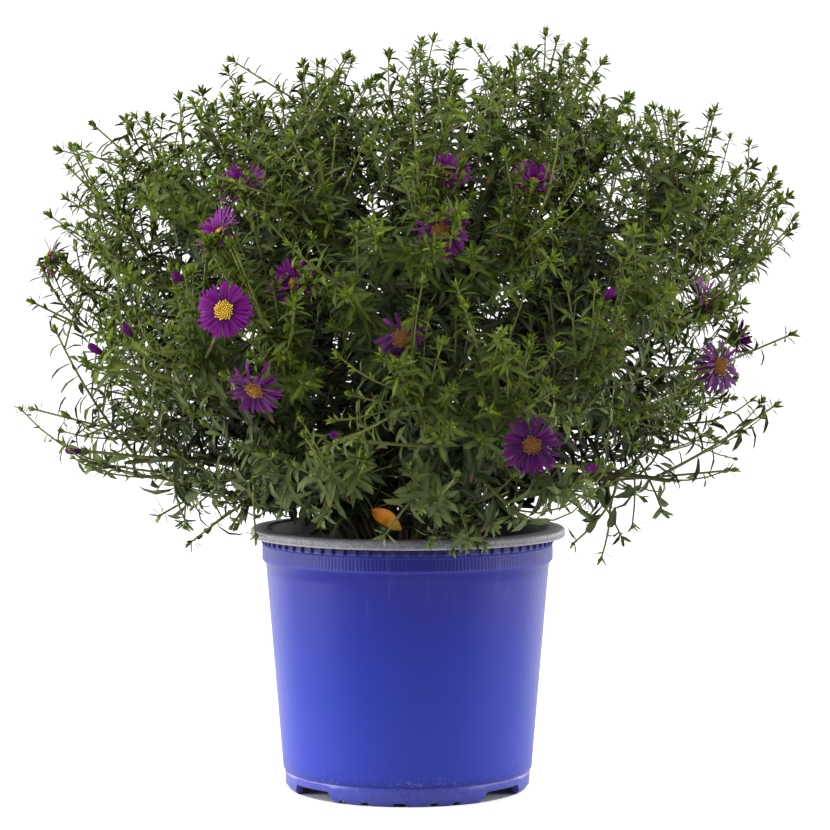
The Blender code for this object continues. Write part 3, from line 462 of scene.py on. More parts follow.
violet_ray, tree, shader, where = new_material(
    "violet_ray", 0.55, Specular_IOR_Level=0.14, Sheen_Weight=0.04)
age, along, midrib = attribute(tree, "growth")
streaks = between(tree, noise(tree, where, 1300.0, 2.0), 0.45, 0.7)
streaked = mix(tree, times(tree, streaks, 0.35), ramp(tree, along, RAY_TONES), srgb(70, 3, 80))
# Painted shade: each ray is darkened along its edges, where the rays overlap.
edge = times(tree, rest_of(tree, between(tree, midrib, 0.0, 0.45)), 0.55)
edged = mix(tree, edge, streaked, srgb(52, 2, 60))
pinker = mix(tree, times(tree, between(tree, tint_of(tree), 0.6, 1.0), 0.35), edged, srgb(132, 26, 126))
faded = mix(tree, times(tree, age, 0.85), pinker, srgb(48, 12, 58))
cover(tree, shader, faded, where, 1600.0, 0.00008)
print("violet rays with", len(tree.nodes), "nodes")

# %% [markdown]
# ## Finish of the disc florets
# Fresh florets are golden yellow. On older blooms they turn orange and then brown. Their roots are
# darkened with painted shade, so that the single florets stand out.

# %% Golden florets
FLORET_AGES = (
    (0.0, srgb(250, 224, 80)), (0.3, srgb(226, 184, 62)), (0.6, srgb(160, 108, 54)),
    (1.0, srgb(104, 68, 40)),
)

gold_floret, tree, shader, where = new_material("gold_floret", 0.6, Specular_IOR_Level=0.3)
age, along, _ = attribute(tree, "growth")
# Painted shade between the florets: darker towards their roots.
root = rest_of(tree, between(tree, along, 0.0, 0.8))
root_shaded = mix(tree, root, ramp(tree, age, FLORET_AGES), srgb(120, 92, 30))
varied = mix(tree, times(tree, tint_of(tree), 0.35), root_shaded, srgb(170, 118, 58))
cover(tree, shader, varied, where, 2400.0, 0.0001)
print("golden florets with", len(tree.nodes), "nodes")

# %% [markdown]
# ## Finish of the withered leaf
# One leaf over the soil has turned yellow. It is orange along its middle and brown along its edges,
# with brown spots. All its tones are darkened with painted shade, for the shade that it lies in.

# %% Withered yellow
# Painted shade: these tones are darker than the leaf's own, for the shade it lies in.
SHADED_WITHERED_TONES = (
    (0.0, srgb(140, 76, 4)), (0.3, srgb(196, 116, 2)), (0.65, srgb(196, 142, 6)), (1.0, srgb(104, 96, 20)),
)

withered, tree, shader, where = new_material("withered_yellow", 0.55, Specular_IOR_Level=0.35)
_, along, midrib = attribute(tree, "growth")
edge = times(tree, rest_of(tree, between(tree, midrib, 0.0, 0.35)), 0.6)
edged = mix(tree, edge, ramp(tree, along, SHADED_WITHERED_TONES), srgb(170, 92, 14))
spotted = mix(tree, times(tree, cloudy(tree, where, 260.0), 0.35), edged, srgb(118, 60, 12))
cover(tree, shader, spotted, where, 1300.0, 0.0002)
print("withered yellow with", len(tree.nodes), "nodes")

# %% [markdown]
# ## Floor
# The pot stands on a plain white floor that runs into the white surroundings. A little glow that
# only the camera sees keeps it white without lighting the pot from below, and stops below the pot,
# where it is dark. The floor isn't part of the object.

# %% Floor
FLOOR_HALF = 6.0
UNDER_POT = (0.0700, 0.0712)
FLOOR_GLOW = 0.65

white_floor, tree, shader, where = new_material("white_floor", 0.9)
pale = mix(tree, cloudy(tree, where, 2.0), (0.62, 0.62, 0.62, 1), (0.64, 0.64, 0.64, 1))
tree.links.new(pale, shader.inputs["Base Color"])
seen = add(tree, "ShaderNodeLightPath").outputs["Is Camera Ray"]
across = add(tree, "ShaderNodeVectorMath", {0: where}, operation="LENGTH").outputs["Value"]
outside = times(tree, seen, between(tree, across, *UNDER_POT))
tree.links.new(mix(tree, outside, BLACK, WHITE), shader.inputs["Emission Color"])
shader.inputs["Emission Strength"].default_value = FLOOR_GLOW
mesh = bpy.data.meshes.new("floor")
corners = np.array([(-1, -1, 0), (1, -1, 0), (1, 1, 0), (-1, 1, 0)]) * FLOOR_HALF
mesh.from_pydata(corners.tolist(), [], [(0, 1, 2, 3)])
mesh.materials.append(white_floor)
floor = bpy.data.objects.new("floor", mesh)
bpy.context.scene.collection.objects.link(floor)
print("floor reaches", FLOOR_HALF, "m each way")

# %% [markdown]
# ## A heap of surfaces
# Leaves, twigs and rays are the same kind of surface: a start point, some rings of corners and an
# end point, closed all round. `spindle` gives the faces between them once, and a heap gathers
# thousands of such surfaces as arrays and makes one mesh of them, which is far quicker than an
# object for each. Every point also keeps what the materials read: its age, its place and its tint.

# %% Heap of surfaces
SHARP_ANGLE = math.radians(48)


def spindle(rings, sides):
    """Faces of a closed surface: a start point, rings of corners and an end point.

    Corner s of ring r has the number 1 + r * sides + s. Returns the corners of all faces in a row,
    and how many corners each face has.
    """
    side = np.arange(sides)
    after = (side + 1) % sides
    start = np.stack([0 * side, 1 + after, 1 + side], axis=1)
    low = 1 + sides * np.arange(rings - 1)[:, None]
    bands = np.stack([low + side, low + after, low + sides + after, low + sides + side], axis=2)
    last = 1 + sides * (rings - 1)
    end = np.stack([last + side, last + after, 0 * side + 1 + rings * sides], axis=1)
    loops = np.concatenate([start.ravel(), bands.ravel(), end.ravel()])
    sizes = np.concatenate([np.full(sides, 3), np.full((rings - 1) * sides, 4), np.full(sides, 3)])
    return loops, sizes


class Heap:
    """Surfaces that will be one piece: points, faces, a material for each, and each point's values."""

    def __init__(self):
        self.points, self.loops, self.sizes, self.finishes = [], [], [], []
        self.growth, self.tint = [], []
        self.count = 0

    def add(self, points, loops, sizes, finish=0, growth=0.0, tint=0.0):
        """Many copies of one pattern of faces: points is (copies, corners, 3).

        finish is one number or one for each face, growth one triple or one for each corner, and tint
        one number or one for each copy.
        """
        copies, corners = points.shape[:2]
        first = self.count + corners * np.arange(copies)[:, None]
        self.points.append(points.reshape(-1, 3))
        self.loops.append((first + loops).ravel())
        self.sizes.append(np.tile(sizes, copies))
        self.finishes.append(np.full(copies * len(sizes), finish))
        self.growth.append(np.broadcast_to(growth, points.shape).reshape(-1, 3))
        self.tint.append(np.repeat(np.broadcast_to(tint, copies), corners))
        self.count += copies * corners

    def triangles(self):
        return int(sum((sizes - 2).sum() for sizes in self.sizes))

    def make(self, name, materials, slot, *nodes):
        """One mesh of all surfaces, which rides on the root and stands for its nodes."""
        points = np.concatenate(self.points)
        loops = np.concatenate(self.loops)
        sizes = np.concatenate(self.sizes)
        mesh = bpy.data.meshes.new(name)
        mesh.vertices.add(len(points))
        mesh.vertices.foreach_set("co", points.astype(np.float32).ravel())
        mesh.loops.add(len(loops))
        mesh.loops.foreach_set("vertex_index", loops.astype(np.int32))
        mesh.polygons.add(len(sizes))
        mesh.polygons.foreach_set("loop_start", (np.cumsum(sizes) - sizes).astype(np.int32))
        mesh.polygons.foreach_set("material_index", np.concatenate(self.finishes).astype(np.int32))
        growth = mesh.attributes.new("growth", "FLOAT_VECTOR", "POINT")
        growth.data.foreach_set("vector", np.concatenate(self.growth).astype(np.float32).ravel())
        tint = mesh.attributes.new("tint", "FLOAT", "POINT")
        tint.data.foreach_set("value", np.concatenate(self.tint).astype(np.float32))
        mesh.update(calc_edges=True)
        mesh.validate()
        for material in materials:
            mesh.materials.append(material)
        mesh.shade_smooth()
        mesh.set_sharp_from_angle(angle=SHARP_ANGLE)
        piece = bpy.data.objects.new(name, mesh)
        bpy.context.scene.collection.objects.link(piece)
        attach(piece, "root")
        if nodes:
            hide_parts(*nodes)
        return piece


def unit(vectors):
    """Vectors made one metre long, along the last axis."""
    return vectors / np.linalg.norm(vectors, axis=-1, keepdims=True)


# %% [markdown]
# ## The pot
# A grid turned round the axis: columns are angles, rows are places on the wall's section. Three
# rules change it with the angle. Ribs move the band's radius in and out, small lugs stand out below
# the lip, and the foot's lower edge rises where it has a notch or a bite.

# %% Pot sections
COLUMNS = 720
RIBS = 240
LUGS = 72
RIB_DEPTH = 0.00019
LUG_DEPTH = 0.0017
FOOT_RADIUS = 0.0715
FOOT_WIDTH = 0.0025
FOOT_SECTION = ((0.0, 0.0715), (0.0026, 0.0735), (0.0113, 0.0740))
FOOT_TOP = 0.0108
EDGE_ROUND = 0.0005
PLATE = (0.0068, 0.0082)
PLATE_INNER = (0.03, 0.04)
STEP = ((0.0736, 0.0113), (0.0743, 0.0120))
WALL = ((0.0126, 0.0750), (0.1362, 0.0853))
WALL_LEVELS = (0.0128, 0.020, 0.075, 0.130, 0.1362)
WALL_THICKNESS = 0.0014
BAND_FOOT = ((0.0866, 0.1372), (0.0869, 0.1379))
RIB_RADIUS = 0.0873
RIB_ROWS = ((0.1383, 0.6), (0.1390, 1.0), (0.1425, 1.0), (0.1458, 1.0), (0.1464, 0.6))
BAND_TOP = ((0.0874, 0.1468), (0.0869, 0.1471))
LUG_RADIUS = 0.0864
LUG_ROWS = ((0.1474, 0.2), (0.1480, 0.8), (0.1488, 1.0), (0.1508, 1.0), (0.15145, 0.9))
NECK = ((0.0859, 0.1515), (0.0859, 0.1383), (0.0839, 0.1358))
INSIDE_LEVELS = (0.10, 0.05, PLATE[1])
NOTCH_MIDDLES = (-141.0, -39.0, 39.0, 141.0)
NOTCH_HALF_ANGLES = (14.5, 11.5)
NOTCH_HEIGHT = 0.0064
BITE_MIDDLES = (-121.5, -110.0, -77.6, -66.9, 68.0, 79.5, 107.0, 120.0, -6.0, 7.0, 173.0, 186.0)
BITE_HALF_ANGLES = (2.1, 1.2)
WIDE_BITE_MIDDLES = (-93.5, 92.0)
WIDE_BITE_HALF_ANGLES = (3.3, 2.4)
BITE_HEIGHT = 0.0023
DRAIN_RADII = (0.051, 0.061)
DRAIN_HALF_ANGLE = 5.1
DRAIN_EDGE = 0.0002

turns = np.linspace(0, 2 * math.pi, COLUMNS, endpoint=False)


def from_nearest(middles):
    """Each column's angle from the nearest of some middles, in degrees."""
    away = np.degrees(turns)[:, None] - np.array(middles)
    return np.abs((away + 180) % 360 - 180).min(axis=1)


def opening(middles, half_angles, height):
    """Height of the foot's edge where it is cut: full in the narrow angle, none past the wide one."""
    wide, narrow = half_angles
    return height * np.clip((wide - from_nearest(middles)) / (wide - narrow), 0, 1)


edge = opening(NOTCH_MIDDLES, NOTCH_HALF_ANGLES, NOTCH_HEIGHT)
edge = np.maximum(edge, opening(BITE_MIDDLES, BITE_HALF_ANGLES, BITE_HEIGHT))
edge = np.maximum(edge, opening(WIDE_BITE_MIDDLES, WIDE_BITE_HALF_ANGLES, BITE_HEIGHT))
print("foot edge is cut over", round(float((edge > 0.001).mean()), 2), "of its round")

# %% Pot rows
def round_row(radius, height):
    """One row of the turned grid: a radius and a height, each a number or one value for each column."""
    radius = np.broadcast_to(radius, turns.shape)
    height = np.broadcast_to(height, turns.shape)
    return np.stack([radius * np.cos(turns), radius * np.sin(turns), height], axis=1)


def foot_radius(height):
    heights, radii = zip(*FOOT_SECTION)
    return np.interp(height, heights, radii)


def wall_radius(height):
    heights, radii = zip(*WALL)
    return np.interp(height, heights, radii)


def foot_rows():
    """Rows from the middle of the plate's underside, over the drain holes, and round the foot."""
    under, top = PLATE
    near, far = DRAIN_RADII
    drain = (from_nearest(NOTCH_MIDDLES) < DRAIN_HALF_ANGLE) * (top - under - DRAIN_EDGE)
    inner = FOOT_RADIUS - FOOT_WIDTH
    rows = [round_row(PLATE_INNER[0], under), round_row(near, under),
            round_row(near + DRAIN_EDGE, under + drain), round_row(far - DRAIN_EDGE, under + drain),
            round_row(far, under), round_row(inner, under), round_row(inner, edge + 0.0003),
            round_row(inner + 0.0004, edge), round_row(foot_radius(edge) - EDGE_ROUND, edge),
            round_row(foot_radius(edge + 0.0003), edge + EDGE_ROUND)]
    for share in (0.25, 0.5, 0.75, 1.0):
        height = edge + EDGE_ROUND + share * (FOOT_TOP - edge - EDGE_ROUND)
        rows.append(round_row(foot_radius(height), height))
    return rows


def wall_rows():
    """Rows up the outside, over the band and its lugs, and down the inside to the plate.

    A rib's radius goes with cos(RIBS * angle), and a lug is a cosine cut off below and above.
    """
    ribs = np.cos(RIBS * turns)
    lugs = np.clip((np.cos(LUGS * turns) - 0.35) / 0.4, 0, 1)
    rows = [round_row(*place) for place in STEP]
    rows += [round_row(wall_radius(height), height) for height in WALL_LEVELS]
    rows += [round_row(*place) for place in BAND_FOOT]
    rows += [round_row(RIB_RADIUS + RIB_DEPTH * ribs * depth, height) for height, depth in RIB_ROWS]
    rows += [round_row(*place) for place in BAND_TOP]
    rows += [round_row(LUG_RADIUS + LUG_DEPTH * lugs * depth, height) for height, depth in LUG_ROWS]
    rows += [round_row(*place) for place in NECK]
    rows += [round_row(wall_radius(height) - WALL_THICKNESS, height) for height in INSIDE_LEVELS]
    return rows + [round_row(PLATE_INNER[1], PLATE[1])]


def drain_faces(points, loops, sizes):
    """1 for the faces inside the drain holes, higher than the plate's underside, where soil shows."""
    starts = np.cumsum(sizes) - sizes
    corner = points[loops[starts]]
    across = np.hypot(corner[:, 0], corner[:, 1])
    raised = (corner[:, 2] > PLATE[0] + 0.0008) & (corner[:, 2] < PLATE[1] - 0.0001)
    return (raised & (across < DRAIN_RADII[1] + 0.0005)).astype(int)


rows = np.array(foot_rows() + wall_rows())
points = np.concatenate([[(0, 0, PLATE[0])], rows[:, ::-1].reshape(-1, 3), [(0, 0, PLATE[1])]])
loops, sizes = spindle(*rows.shape[:2])
heap = Heap()
heap.add(points[None], loops, sizes, drain_faces(points, loops, sizes))
heap.make("pot_body", (blue_plastic, soil_dark), "blue_plastic", "pot")
print("pot has", heap.triangles(), "triangles")

# %% [markdown]
# ## The lip
# A separate grey ring with a sleeve inside the pot's neck. Its rounded section is a list of points,
# turned round the axis and closed on itself, and its radius wavers a little, because such a thin lip
# is never quite round.

# %% Lip
LIP_SECTION = (
    (0.0846, 0.1385), (0.0846, 0.1560), (0.08495, 0.1568), (0.0856, 0.15735), (0.0864, 0.1575),
    (0.0925, 0.15745), (0.0936, 0.1573), (0.0944, 0.1567), (0.0949, 0.1558), (0.0950, 0.1546),
    (0.0950, 0.1533), (0.0948, 0.1525), (0.0943, 0.1519), (0.0936, 0.1518), (0.0925, 0.1521),
    (0.0860, 0.1521), (0.0856, 0.1518), (0.0856, 0.1385),
)
LIP_COLUMNS = 240
LIP_WAVER = 0.00022
WAVER_FROM = (0.088, 0.004)


def lip_grid():
    """Rows of the lip's section turned round the axis: radius = section + a slow wave of the angle."""
    angle = np.linspace(0, 2 * math.pi, LIP_COLUMNS, endpoint=False)
    section = np.array(LIP_SECTION)
    wave = LIP_WAVER * (np.sin(3 * angle + 0.7) + 0.6 * np.sin(7 * angle + 2.0) - 1.3)
    outer = np.clip((section[:, 0] - WAVER_FROM[0]) / WAVER_FROM[1], 0, 1)
    radius = section[:, :1] + outer[:, None] * wave
    height = np.broadcast_to(section[:, 1:], radius.shape)
    return np.stack([radius * np.cos(angle), radius * np.sin(angle), height], axis=2)


def ring_faces(rows, columns):
    """Faces of a ring whose section is closed: every row joins the next, and the last the first."""
    row = np.arange(rows)[:, None]
    column = np.arange(columns)
    below, after = (row + 1) % rows, (column + 1) % columns
    here, there = row * columns, below * columns
    corners = np.stack([here + column, here + after, there + after, there + column], axis=2)
    return corners.ravel(), np.full(rows * columns, 4)


points = lip_grid()[:, ::-1].reshape(1, -1, 3)
heap = Heap()
heap.add(points, *ring_faces(len(LIP_SECTION), LIP_COLUMNS))
heap.make("lip_ring", (grey_plastic,), "grey_plastic", "pot_lip")
print("lip has", heap.triangles(), "triangles")

# %% [markdown]
# ## Soil
# A turned surface whose top is roughened by smooth noise: random values on a lattice of points, with
# the value between them blended. A few hundred crumbs lie on it.

# %% Soil
SOIL_RADIUS = 0.0833
SOIL_EDGE = 0.1400
SOIL_TOP = 0.1452
SOIL_ROUGHNESS = 0.0011
SOIL_BOTTOM = PLATE[1] + 0.0004
SOIL_SHOULDER = 0.1352
SOIL_GAP = 0.0008
SOIL_COLUMNS = 120
SOIL_ROWS = 30
LATTICE_SIDE = 32
CRUMBS = 320
CRUMB_SIZES = (0.0007, 0.0023)
CRUMB_CORNERS = 5

random = np.random.RandomState(4)
LATTICE = random.uniform(-1, 1, (LATTICE_SIDE,) * 3)


def rough(points, size):
    """Smooth noise from -1 to 1: a lattice of random values, blended by three smooth steps."""
    scaled = points / size
    cell = np.floor(scaled).astype(int)
    inside = scaled - cell
    inside = inside * inside * (3 - 2 * inside)
    total = 0.0
    for x in (0, 1):
        for y in (0, 1):
            for z in (0, 1):
                share = np.prod(np.where((x, y, z), inside, 1 - inside), axis=-1)
                index = (cell + (x, y, z)) % LATTICE_SIDE
                total = total + share * LATTICE[index[..., 0], index[..., 1], index[..., 2]]
    return total


def soil_height(x, y):
    """The soil's height over a place: a low mound, roughened at two sizes."""
    across = np.hypot(x, y)
    mound = np.interp(across, (0.0, 0.055, SOIL_RADIUS), (SOIL_TOP, SOIL_TOP - 0.0012, SOIL_EDGE))
    flat = np.stack([x, y, 0 * x], axis=-1)
    fade = np.clip((SOIL_RADIUS - across) / 0.006, 0, 1)
    return mound + fade * SOIL_ROUGHNESS * (rough(flat, 0.009) + 0.6 * rough(flat, 0.0035))


def soil_rows():
    """Rows from the mound's middle to its edge, then down the pot's inside to the plate."""
    angle = np.linspace(0, 2 * math.pi, SOIL_COLUMNS, endpoint=False)
    rows = []
    for radius in np.linspace(0.002, SOIL_RADIUS, SOIL_ROWS):
        x, y = radius * np.cos(angle), radius * np.sin(angle)
        rows.append(np.stack([x, y, soil_height(x, y)], axis=1))
    low_radius = wall_radius(SOIL_BOTTOM) - WALL_THICKNESS - SOIL_GAP
    for radius, height in ((SOIL_RADIUS, SOIL_SHOULDER), (low_radius, SOIL_BOTTOM)):
        rows.append(np.stack([radius * np.cos(angle), radius * np.sin(angle), 0 * angle + height], axis=1))
    return np.array(rows)


def crumbs(heap):
    """Small uneven lumps: two rings of corners and two poles, scattered by rule over the soil."""
    radius = SOIL_RADIUS * 0.97 * np.sqrt(random.uniform(0, 1, CRUMBS))
    angle = random.uniform(0, 2 * math.pi, CRUMBS)
    x, y = radius * np.cos(angle), radius * np.sin(angle)
    size = random.uniform(*CRUMB_SIZES, CRUMBS)
    ring = 2 * math.pi * np.arange(CRUMB_CORNERS) / CRUMB_CORNERS
    rings = [np.stack([-np.cos(ring), np.sin(ring), 0 * ring + level], axis=1) for level in (-0.45, 0.45)]
    shape = np.concatenate([[(0, 0, -1)], *rings, [(0, 0, 1)]])
    points = shape * size[:, None, None] * random.uniform(0.6, 1.25, (CRUMBS, len(shape), 1))
    points[..., 2] *= 0.7
    points += np.stack([x, y, soil_height(x, y) + 0.25 * size], axis=1)[:, None]
    heap.add(points, *spindle(2, CRUMB_CORNERS))


rows = soil_rows()
peak = (0, 0, soil_height(np.zeros(1), np.zeros(1))[0])
points = np.concatenate([[peak], rows.reshape(-1, 3), [(0, 0, SOIL_BOTTOM)]])[None]
heap = Heap()
heap.add(points, *spindle(*rows.shape[:2]))
crumbs(heap)
heap.make("soil_bed", (soil_dark,), "soil", "soil")
print("soil has", heap.triangles(), "triangles")

# %% [markdown]
# ## The plan of the plant
# The source grows the plant by rule, and this step repeats that rule, so every twig here runs where
# the solid's twig runs. Tips are spread over a dome, each a golden angle on from the last. `reach`
# says how far the dome is from the crown in a direction. It was read from the bush's outline.

# %% Dome
SEED = 8
CROWN = np.array((0.0, 0.0, 0.150))
REACH_ANGLES = (0, 20, 40, 50, 60, 70, 80, 90, 100)
REACHES = (0.300, 0.303, 0.312, 0.294, 0.262, 0.234, 0.172, 0.140, 0.120)
GOLDEN_ANGLE = math.radians(137.508)
WIDEST = 0.229
CLEAR = 0.006
BETWEEN = 0.0009
SLEEVE_RADIUS = 0.0846
SOIL_CLEAR = 0.1460
RIM_TOP = 0.1575
RIM_RADIUS = 0.0950


def reach(directions):
    """Distance from the crown to the dome's outside in each direction."""
    angle = np.degrees(np.arccos(np.clip(directions[..., 2], -1, 1)))
    return np.interp(angle, REACH_ANGLES, REACHES)


def dome_directions(count, spread):
    """Directions spread evenly over the dome.

    The height falls by equal steps while the turn grows by the golden angle.
    """
    index = np.arange(count)
    height = 1 - (index + 0.5) / count * (1 - math.cos(spread))
    flat = np.sqrt(1 - height * height)
    turn = index * GOLDEN_ANGLE + 0.4
    return np.stack([flat * np.cos(turn), flat * np.sin(turn), height], axis=1)


def curve(start, bend, end, shares):
    """Places along a curve that leaves its start towards the bend and ends coming from it.

    At a share t it is (1 - t) squared of the start, 2 t (1 - t) of the bend and t squared of the end.
    """
    shares = np.asarray(shares)[:, None]
    return (1 - shares) ** 2 * start + 2 * shares * (1 - shares) * bend + shares ** 2 * end


def above_pot(points):
    """True where points keep clear of the pot and of the soil."""
    across = np.hypot(points[..., 0], points[..., 1])
    over = (points[..., 2] > RIM_TOP + CLEAR) | (across > RIM_RADIUS + CLEAR)
    return np.where(across < SLEEVE_RADIUS - CLEAR, points[..., 2] > SOIL_CLEAR + CLEAR, over)


# %% [markdown]
# ## Room between rods
# A twig grows only where it keeps clear of what has grown already. Stems, twigs and blooms are kept
# as rods with round ends, and the shortest distance between two rods has a closed formula.

# %% Room between rods
def rod_distances(start, end, starts, ends):
    """Shortest distances from one rod's middle line to many others."""
    run = end - start
    runs = ends - starts
    apart = start - starts
    own = run @ run
    other = np.maximum((runs * runs).sum(1), 1e-12)
    along = (runs * apart).sum(1)
    cross = runs @ run
    back = apart @ run
    first = np.clip((cross * along - back * other) / np.maximum(own * other - cross * cross, 1e-16), 0, 1)
    second = np.clip((cross * first + along) / other, 0, 1)
    first = np.clip((cross * second - back) / own, 0, 1)
    gaps = start + first[:, None] * run - starts - second[:, None] * runs
    return np.sqrt((gaps * gaps).sum(1))


class Space:
    """Rods with a start, an end, a radius and the number of the twig, stem or bloom they belong to."""

    def __init__(self, room=3000):
        self.starts = np.zeros((room, 3))
        self.ends = np.zeros((room, 3))
        self.radii = np.zeros(room)
        self.twigs = np.zeros(room, int)
        self.count = 0

    def add(self, start, end, radius, twig):
        self.starts[self.count] = start
        self.ends[self.count] = end
        self.radii[self.count] = radius
        self.twigs[self.count] = twig
        self.count += 1

    def free(self, start, end, radius, *allowed):
        """True where a rod keeps clear of all rods but those of the twigs allowed to touch it."""
        used = slice(0, self.count)
        others = ~np.isin(self.twigs[used], allowed)
        gaps = rod_distances(start, end, self.starts[used][others], self.ends[used][others])
        return bool((gaps > self.radii[used][others] + radius + BETWEEN).all())


# %% [markdown]
# ## Main stems
# Twenty stems rise from the soil near the pot's middle and fan out. A solid's stem is a row of
# three-cornered rings, each turned a sixth of a turn from the last. A twig starts on one of the six
# faces between two rings, so those faces are worked out here too.

# %% Main stems
STEM_COUNT = 20
STEM_LENGTH = 0.86
STEM_SPREAD = math.radians(80)
STEM_BASES = (0.004, 0.040)
STEM_RADII = (0.0023, 0.0013)
STEM_STRETCH = 0.0170
HOLE_BOTTOM = 0.1183
UPRIGHT = np.array((0.0, 0.0, 1.0))
SKEW = (0.3, 1.0, 0.2)
THIRDS = 2 * math.pi * np.arange(3) / 3
OFF_SHARE = 0.12
ROOT_STEPS = 3.5


def next_ring(base, centre, axis, radius):
    """Three corners round an axis, turned a sixth of a turn from the ring below."""
    across = base - base.mean(axis=0)
    side = unit(np.cross(axis, SKEW))
    other = np.cross(axis, side)
    place = (across @ side) + 1j * (across @ other)
    angle = np.angle((place * np.exp(-1j * THIRDS)).sum()) + math.pi / 3 + THIRDS
    return centre + radius * (np.cos(angle)[:, None] * side + np.sin(angle)[:, None] * other)


def faces_between(low, high):
    """The middles and outward directions of the six faces between two rings of three."""
    after = np.roll(np.arange(3), -1)
    flat = np.stack([low, low[after], high], axis=1)
    tall = np.stack([low[after], high[after], high], axis=1)
    faces = np.stack([flat, tall], axis=1).reshape(6, 3, 3)
    return faces.mean(axis=1), unit(np.cross(faces[:, 1] - faces[:, 0], faces[:, 2] - faces[:, 0]))


class Stem:
    """A main stem: its path, and the faces that twigs may start from."""

    def __init__(self, number, direction):
        self.number = number
        self.direction = direction
        share = math.acos(direction[2]) / STEM_SPREAD
        outward = unit(np.array((direction[0], direction[1], 0.0)))
        base = (STEM_BASES[0] + (STEM_BASES[1] - STEM_BASES[0]) * share) * outward
        foot = base + np.array((0.0, 0.0, HOLE_BOTTOM))
        ground = base + np.array((0.0, 0.0, CROWN[2]))
        tip = CROWN + direction * reach(direction) * STEM_LENGTH
        chord = np.linalg.norm(tip - ground)
        rise = unit(UPRIGHT + unit(tip - ground))
        steps = int(chord / STEM_STRETCH)
        self.ends = (ground, ground + 0.5 * chord * rise, tip)
        self.path = curve(*self.ends, np.linspace(0, 1, steps + 1))
        self.foot = foot
        radii = np.linspace(STEM_RADII[0], STEM_RADII[1], steps + 1)
        side = unit(np.cross(UPRIGHT, SKEW))
        other = np.cross(UPRIGHT, side)
        ring = foot + STEM_RADII[0] * (np.cos(THIRDS)[:, None] * side + np.sin(THIRDS)[:, None] * other)
        afters = np.vstack((self.path[1:], [2 * self.path[-1] - self.path[-2]]))
        rings = []
        for place, after, radius in zip(self.path, afters, radii):
            ring = next_ring(ring, place, unit(after - place), radius)
            rings.append(ring)
        pairs = [faces_between(low, high) for low, high in zip(rings, rings[1:])]
        self.middles = np.array([middles for middles, _ in pairs])
        self.normals = np.array([normals for _, normals in pairs])
        self.taken = np.zeros(self.middles.shape[:2], bool)

    def root_for(self, target, share):
        """The free face that looks most towards a target, near a share of the stem's length."""
        away = np.abs(np.arange(len(self.middles)) - share * len(self.middles))
        score = (unit(target - self.middles) * self.normals).sum(2) - OFF_SHARE * away[:, None]
        score[self.taken | (away > ROOT_STEPS)[:, None]] = 0.0
        best = np.unravel_index(np.argmax(score), score.shape)
        return best if score[best] > 0.0 else None


stems = [Stem(number, direction)
         for number, direction in enumerate(dome_directions(STEM_COUNT, STEM_SPREAD))]
space = Space()
for stem in stems:
    for start, end in zip(stem.path, stem.path[1:]):
        space.add(start, end, STEM_RADII[0], stem.number)
print(len(stems), "main stems,", space.count, "rods")

# %% [markdown]
# ## Blooms and buds in their places
# Each bloom has a place, the way it faces as a yaw and a lift in degrees, the length of its rays and
# their angle from the axis, and a bud has the first two. They are the same places as in the source,
# and they claim their room first, so that no twig grows through a flower.

# %% Places of the blooms
OPEN_BLOOMS = (
    (-0.096, -0.207, 0.290, -98, 8, 0.0110, 86),
    (0.018, -0.202, 0.331, -92, 25, 0.0112, 80),
    (-0.003, -0.215, 0.276, -84, -5, 0.0100, 122),
    (-0.080, -0.205, 0.249, -112, -38, 0.0112, 78),
    (0.066, -0.208, 0.219, -84, 4, 0.0118, 88),
    (0.172, -0.139, 0.258, -52, 6, 0.0108, 84),
    (0.108, 0.186, 0.300, 62, 12, 0.0112, 86),
    (-0.126, 0.170, 0.272, 125, 5, 0.0112, 84),
    (-0.010, 0.166, 0.372, 95, 45, 0.0108, 82),
    (-0.218, 0.030, 0.318, 172, 20, 0.0108, 84),
)
CUP_BLOOMS = (
    (-0.100, -0.172, 0.331, -140, 30, 0.0112, 62),
    (-0.090, -0.150, 0.357, -110, 42, 0.0104, 58),
    (0.022, -0.166, 0.362, -80, 48, 0.0100, 56),
    (0.068, -0.172, 0.358, -70, 42, 0.0096, 52),
    (0.166, -0.112, 0.294, -30, 22, 0.0112, 60),
    (-0.060, -0.180, 0.304, -112, 20, 0.0096, 60),
    (0.205, 0.070, 0.268, 20, 15, 0.0104, 60),
)
BUDS = (
    (-0.168, -0.147, 0.266, -142, 30),
    (-0.150, -0.158, 0.276, -118, 35),
    (0.106, -0.196, 0.296, -62, 35),
    (-0.120, -0.184, 0.305, -122, 30),
    (-0.037, -0.214, 0.224, -102, 10),
    (0.097, -0.176, 0.205, -60, 0),
    (-0.187, -0.084, 0.208, -156, 5),
    (0.040, 0.214, 0.238, 82, 15),
)
GAP = 0.0003
HUB_RADIUS = 0.0046
HUB_HEIGHT = 0.0010
DISC_HEIGHT = 0.0031
CUP_HEIGHT = 0.0050
CUP_RADIUS = 0.0036
BUD_LENGTH = 0.0095
RAY_CLAIM = 0.0032
BUD_CLAIM = 0.0040
FIRST_OWNER = 100
WITHERED_OWNER = 99
YELLOW_LEAF_TOP = np.array((-0.020, -0.098, 0.1755))
YELLOW_LEAF_TIP = np.array((-0.003, -0.0985, 0.1640))
YELLOW_LEAF_WIDTH = 0.0082
SKEW_BLOOM = (0.1, 0.2, 1.0)
HEADS = OPEN_BLOOMS + CUP_BLOOMS + BUDS


def facing(yaw, lift):
    """The direction of an axis from its yaw about upright and its lift over level, in degrees."""
    yaw, lift = math.radians(yaw), math.radians(lift)
    return np.array((math.cos(lift) * math.cos(yaw), math.cos(lift) * math.sin(yaw), math.sin(lift)))


